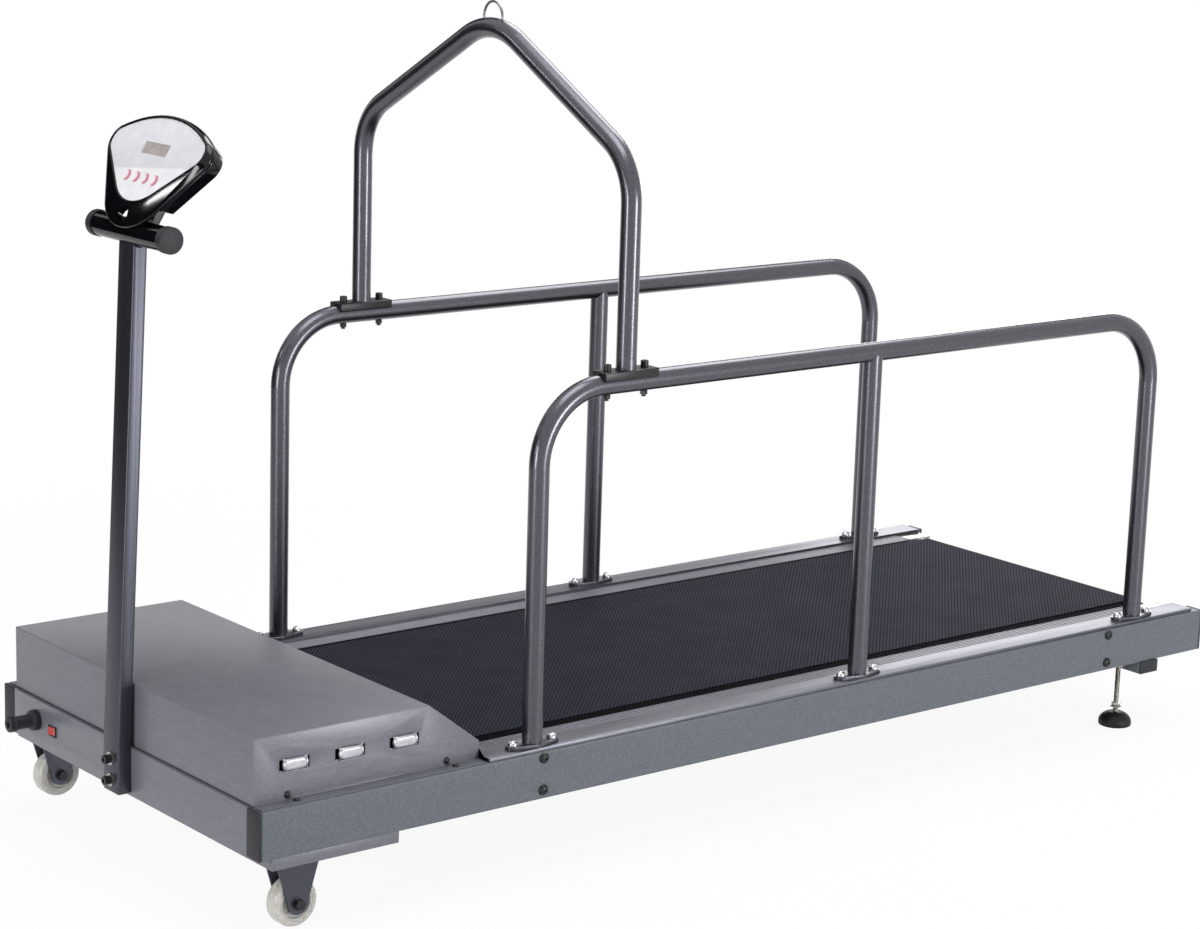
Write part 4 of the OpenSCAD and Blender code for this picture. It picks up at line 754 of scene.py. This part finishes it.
chrome_head = socket_head("chrome_head", dome_mm_of(7, chrome_head_mm), socket_mm=4, depth_mm=3)
new_heads("base_plate_bolts", chrome_head, seats_on("base_plate_bolts", chrome_head_mm))
cap_mm = [(0, 0), (5.5, 0), (5.5, 8.4), (4.9, cap_head_mm), (0, cap_head_mm)]
saddle_head = socket_head("saddle_head", cap_mm, socket_mm=5, depth_mm=4)
new_heads("arch_bolts", saddle_head, seats_on("arch_bolts", cap_head_mm))

beam_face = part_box("side_beam_right")[1].y
beam_seats = []
for low, high in solids_in("beam_bolts"):
    if (high.y - low.y) * 1000 > least_beam_bolt_mm:
        outwards = 1 if low.y > 0 else -1
        seat = Vector(((low.x + high.x) / 2, outwards * beam_face, (low.z + high.z) / 2))
        beam_seats.append((seat, (0, outwards, 0)))
beam_head = socket_head("beam_head", dome_mm_of(7.5, 5.5), socket_mm=4, depth_mm=2)
new_heads("beam_bolts", beam_head, beam_seats)

# %% [markdown]
# ## Cable gland
# The power lead enters through a moulded nylon gland: a round flange on the plate, a body and a fluted
# clamping nut. It is turned in one piece with its stem through the plate. The flutes could be cut with
# booleans, but extruding every second strip of faces a little outwards is simpler. A hexagon nut behind
# the plate holds it.

# %% Cable gland
low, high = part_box("power_inlet_gland")
gland_y, gland_z = (low.y + high.y) / 2, (low.z + high.z) / 2
plate_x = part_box("front_end_plate")[0].x
gland_section_mm = [
    (4.2, -11), (4.2, 44.2), (5, 45), (9, 45), (10.6, 44.2), (11.2, 42.6), (11.2, 35), (10.6, 33.6),
    (9.6, 33), (9.6, 11.4), (10.4, 10.4), (13.4, 10), (14.4, 8.6), (14.5, 1), (14.2, 0), (7.9, 0),
    (7.9, -11), (4.2, -11)]
flute_from_mm, flute_to_mm, nut_least_mm = 35, 42.6, 10.8
flute_turn, flute_height_mm = 15, 0.3
gland = turned("gland", (plate_x, gland_y, gland_z), (-1, 0, 0), gland_section_mm, 48)
bpy.ops.object.mode_set(mode="EDIT")
bpy.ops.mesh.select_mode(type="FACE")
bpy.ops.mesh.select_all(action="DESELECT")
bpy.ops.object.mode_set(mode="OBJECT")
for face in gland.data.polygons:
    reach_mm = (plate_x - face.center.x) * 1000
    away = Vector((0, face.center.y - gland_y, face.center.z - gland_z))
    turn = math.degrees(math.atan2(away.z, away.y)) % flute_turn
    on_nut = flute_from_mm < reach_mm < flute_to_mm and away.length * 1000 > nut_least_mm
    face.select = on_nut and turn < flute_turn / 2
bpy.ops.object.mode_set(mode="EDIT")
bpy.ops.mesh.extrude_region_shrink_fatten(TRANSFORM_OT_shrink_fatten={"value": -flute_height_mm / 1000})
bpy.ops.object.mode_set(mode="OBJECT")
print("gland at height", round(gland_z, 3))

# %% Lock nut of the gland
nut_most_mm = 12
nut_low, nut_high = next(
    box for box in solids_in("power_inlet_gland") if (box[1].x - box[0].x) * 1000 < nut_most_mm)
nut_across_mm = (nut_high.z - nut_low.z) * 1000 * math.cos(math.radians(30))
lock_nut = hexagon("gland_lock_nut", (0, 0, 0), nut_across_mm, height_mm=6)
nut_turn = Matrix.Rotation(math.radians(90), 4, "Y")
lock_nut.data.transform(Matrix.Translation((nut_low + nut_high) / 2) @ nut_turn)
adopt(joined("power_inlet_gland_fluted", [gland, lock_nut]), "power_inlet_gland")
print("lock nut across its flats in mm:", round(nut_across_mm, 1))

# %% [markdown]
# ## Washers of the post bolts
# The two socket bolts of the console post are black, but they sit on bright zinc washers. The washers
# could be turned anew, but they are part of the same workshop piece and have the right shape. So a copy
# of it gets a second material on the faces that lie in front of the post's foot.

# %% Post bolts
washer_mm, slack_mm = 2, 0.05
post_bolts = softened("post_bolts")
post_bolts.data.materials.append(finish["zinc_plate"])
washer_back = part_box("console_post")[0].x
for face in post_bolts.data.polygons:
    face.material_index = int(0 <= (washer_back - face.center.x) * 1000 <= washer_mm + slack_mm)
print("washer faces:", sum(face.material_index for face in post_bolts.data.polygons))

# %% [markdown]
# ## Vent louvres
# The bright louvres are pressed outwards as long bulges with round ends and shoulders. Each starts as a
# cube. To subdivide it would round it all over, so it is bevelled, which keeps its long sides straight:
# the edges through the sheet get a large bevel and the rim of its front a smaller one, and the half
# inside the hood is cut away with a bisect. The frame behind the sheet stays as it is. The metal is
# brushed along the machine.

# %% Bevels on chosen edges
def bevel_where(piece, chosen, radius_mm, segments=8):
    """Bevels the edges of a piece whose two ends pass a test."""
    bpy.ops.object.mode_set(mode="EDIT")
    bpy.ops.mesh.select_mode(type="EDGE")
    bpy.ops.mesh.select_all(action="DESELECT")
    bpy.ops.object.mode_set(mode="OBJECT")
    points = piece.data.vertices
    for edge in piece.data.edges:
        edge.select = chosen(*(points[i].co for i in edge.vertices))
    bpy.ops.object.mode_set(mode="EDIT")
    bpy.ops.mesh.bevel(offset=radius_mm / 1000, segments=segments, affect="EDGES")
    bpy.ops.object.mode_set(mode="OBJECT")


print("edges can be chosen and bevelled")

# %% Vent louvres
bulge_mm = Vector((37, 9.4, 16.6))
end_mm, shoulder_mm, proud_mm, touch_mm = 7.4, 3.8, 0.3, 0.1
louvres = [softened("vent_louvres")]
for low, high in solids_in("vent_louvres"):
    side = 1 if high.y > 0 else -1
    front = max(abs(low.y), abs(high.y)) + proud_mm / 1000
    middle = (low + high) / 2
    middle.y = side * (front - bulge_mm.y / 2000)
    bpy.ops.object.select_all(action="DESELECT")
    bpy.ops.mesh.primitive_cube_add(size=1, scale=bulge_mm / 1000, location=middle)
    bulge = bpy.context.active_object
    bpy.ops.object.transform_apply(location=True, rotation=True, scale=True)
    bevel_where(bulge, lambda a, b: abs(a.y - b.y) > touch_mm / 1000, end_mm)
    rim = front - touch_mm / 1000
    bevel_where(bulge, lambda a, b: min(a.y * side, b.y * side) > rim, shoulder_mm)
    bpy.ops.object.mode_set(mode="EDIT")
    bpy.ops.mesh.select_all(action="SELECT")
    bpy.ops.mesh.bisect(plane_co=middle, plane_no=(0, -side, 0), clear_outer=True, use_fill=True)
    close_smooth()
    louvres.append(bulge)
pressed = joined("vent_louvres_pressed", louvres)
pressed.data.materials.clear()
pressed.data.materials.append(finish["louvre_aluminium"])
print(pressed.name, len(louvres) - 1, "bulges")

# %% [markdown]
# ## Floor and backdrop
# A pale floor carries the object's soft shadow. A bright world could make floor and backdrop white, but
# its light would wash out the object too, so both are white only to the camera, to mirrors and through
# glass. Close to the object the floor's own paint takes a small share, which is what shows the shadow;
# further off it fades into the white.

# %% Floor
def seen_directly(tree):
    """1 for rays from the camera, from mirrors and through glass, and 0 for light on the object."""
    path = add(tree, "ShaderNodeLightPath").outputs
    glossy = add(tree, "ShaderNodeMath", {
        0: path["Is Glossy Ray"], 1: path["Is Transmission Ray"]}, operation="MAXIMUM").outputs[0]
    return add(tree, "ShaderNodeMath", {
        0: path["Is Camera Ray"], 1: glossy}, operation="MAXIMUM").outputs[0]


floor_size, floor_gap = 60, 0.0005
shadow_from, shadow_to, glow_near = 1.2, 2.4, 0.93
bpy.ops.object.select_all(action="DESELECT")
bpy.ops.mesh.primitive_plane_add(size=floor_size, location=(0, 0, -floor_gap))
floor = bpy.context.active_object
floor.name = "studio_floor"
floor_finish, tree, _, place = start_finish(
    "matt_white_floor", Base_Color=linear("#f2f2f2"), Roughness=0.9, Specular_IOR_Level=0.1)
glow = add(tree, "ShaderNodeEmission", {"Color": linear("#ffffff"), "Strength": 1.0}).outputs["Emission"]
far = add(tree, "ShaderNodeVectorMath", {0: place}, operation="LENGTH").outputs["Value"]
glow_share = add(tree, "ShaderNodeMapRange", {
    "Value": far, "From Min": shadow_from, "From Max": shadow_to,
    "To Min": glow_near, "To Max": 1.0}).outputs["Result"]
share = add(tree, "ShaderNodeMath", {
    0: glow_share, 1: seen_directly(tree)}, operation="MULTIPLY").outputs[0]
paint = tree.nodes["Principled BSDF"].outputs["BSDF"]
surface = tree.nodes["Material Output"].inputs["Surface"]
add(tree, "ShaderNodeMixShader", {0: share, 1: paint, 2: glow}, into=surface)
floor.data.materials.append(floor_finish)
print("floor ready")

# %% Backdrop
sky_light = 0.34
world = bpy.data.worlds.new("white_studio")
bpy.context.scene.world = world
world.use_nodes = True
tree = world.node_tree
sky = tree.nodes["Background"].inputs
sky["Color"].default_value = linear("#ffffff")
add(tree, "ShaderNodeMapRange", {
    "Value": seen_directly(tree), "To Min": sky_light, "To Max": 1.0}, into=sky["Strength"])
bpy.context.scene.view_settings.view_transform = "Standard"
print("backdrop ready")

# %% [markdown]
# ## Lamps
# A picture of a room could light the object, but lamps put each highlight where it should be. Two large
# ones stand above the rear and above the hood, and a low one behind glances off the rails. Two upright
# strips draw long streaks on the tubes, and two small lamps do the same on the gloss black console.

# %% Lamps
def lamp(name, place, aim, size, watts):
    """A rectangular lamp at a place, turned to face a point."""
    bpy.ops.object.select_all(action="DESELECT")
    bpy.ops.object.light_add(type="AREA", location=place)
    made = bpy.context.active_object
    made.name = name
    made.data.shape = "RECTANGLE"
    made.data.size, made.data.size_y = size
    made.data.energy = watts
    made.rotation_euler = (Vector(aim) - Vector(place)).to_track_quat("-Z", "Y").to_euler()
    return made


console = (-0.85, 0, 0.9)
lamps = [
    lamp("above_rear", (1.4, 0.9, 2.6), (0.5, 0, 0.2), (1.6, 1.6), 38),
    lamp("above_hood", (-0.5, -0.5, 3.0), (-0.5, 0, 0.2), (1.6, 1.6), 36),
    lamp("behind_rails", (2.6, 1.5, 0.9), (0.5, 0, 0.2), (1.2, 0.8), 11),
    lamp("left_strip", (-4.0, -0.9, 0.6), (-0.4, 0, 0.4), (0.3, 1.2), 44),
    lamp("console_strip", (-4.0, 0.2, 1.25), console, (0.3, 0.5), 9),
    lamp("console_glint", (-2.25, 1.45, 1.72), console, (0.5, 0.12), 5),
    lamp("right_strip", (1.1, -3.8, 0.5), (-0.2, 0, 0.3), (0.5, 1.0), 60),
]
print("lamps:", [made.name for made in lamps])

# %% [markdown]
# ## Black cards
# Shiny metal shows what stands round it. In a studio, black cards stand beside it, so that the edges of
# a tube turn dark between the bright streaks. Darker paint could do that too, but it would dull the
# streaks. The three cards stand at the picture's left, in front and behind. Only mirrors see them: they
# throw no shadow and take no light from the object.

# %% Black cards
card_finish = start_finish(
    "black_felt_card", Base_Color=linear("#0c0c0d"), Roughness=0.95, Specular_IOR_Level=0.0)[0]
cards = (
    ("card_left", (-2.2, 2.0, 1.2), 45, (3.0, 2.4, 1)),
    ("card_front", (-4.6, -0.6, 1.2), 90, (4.4, 2.4, 1)),
    ("card_behind", (1.6, 3.0, 2.7), -38, (5.5, 2.6, 1)),
)
for name, place, turn, size in cards:
    bpy.ops.object.select_all(action="DESELECT")
    bpy.ops.mesh.primitive_plane_add(
        size=1, location=place, rotation=(math.radians(90), 0, math.radians(turn)))
    card = bpy.context.active_object
    card.name = name
    card.scale = size
    card.visible_camera = card.visible_diffuse = card.visible_shadow = False
    card.data.materials.append(card_finish)
print("black cards:", len(cards))
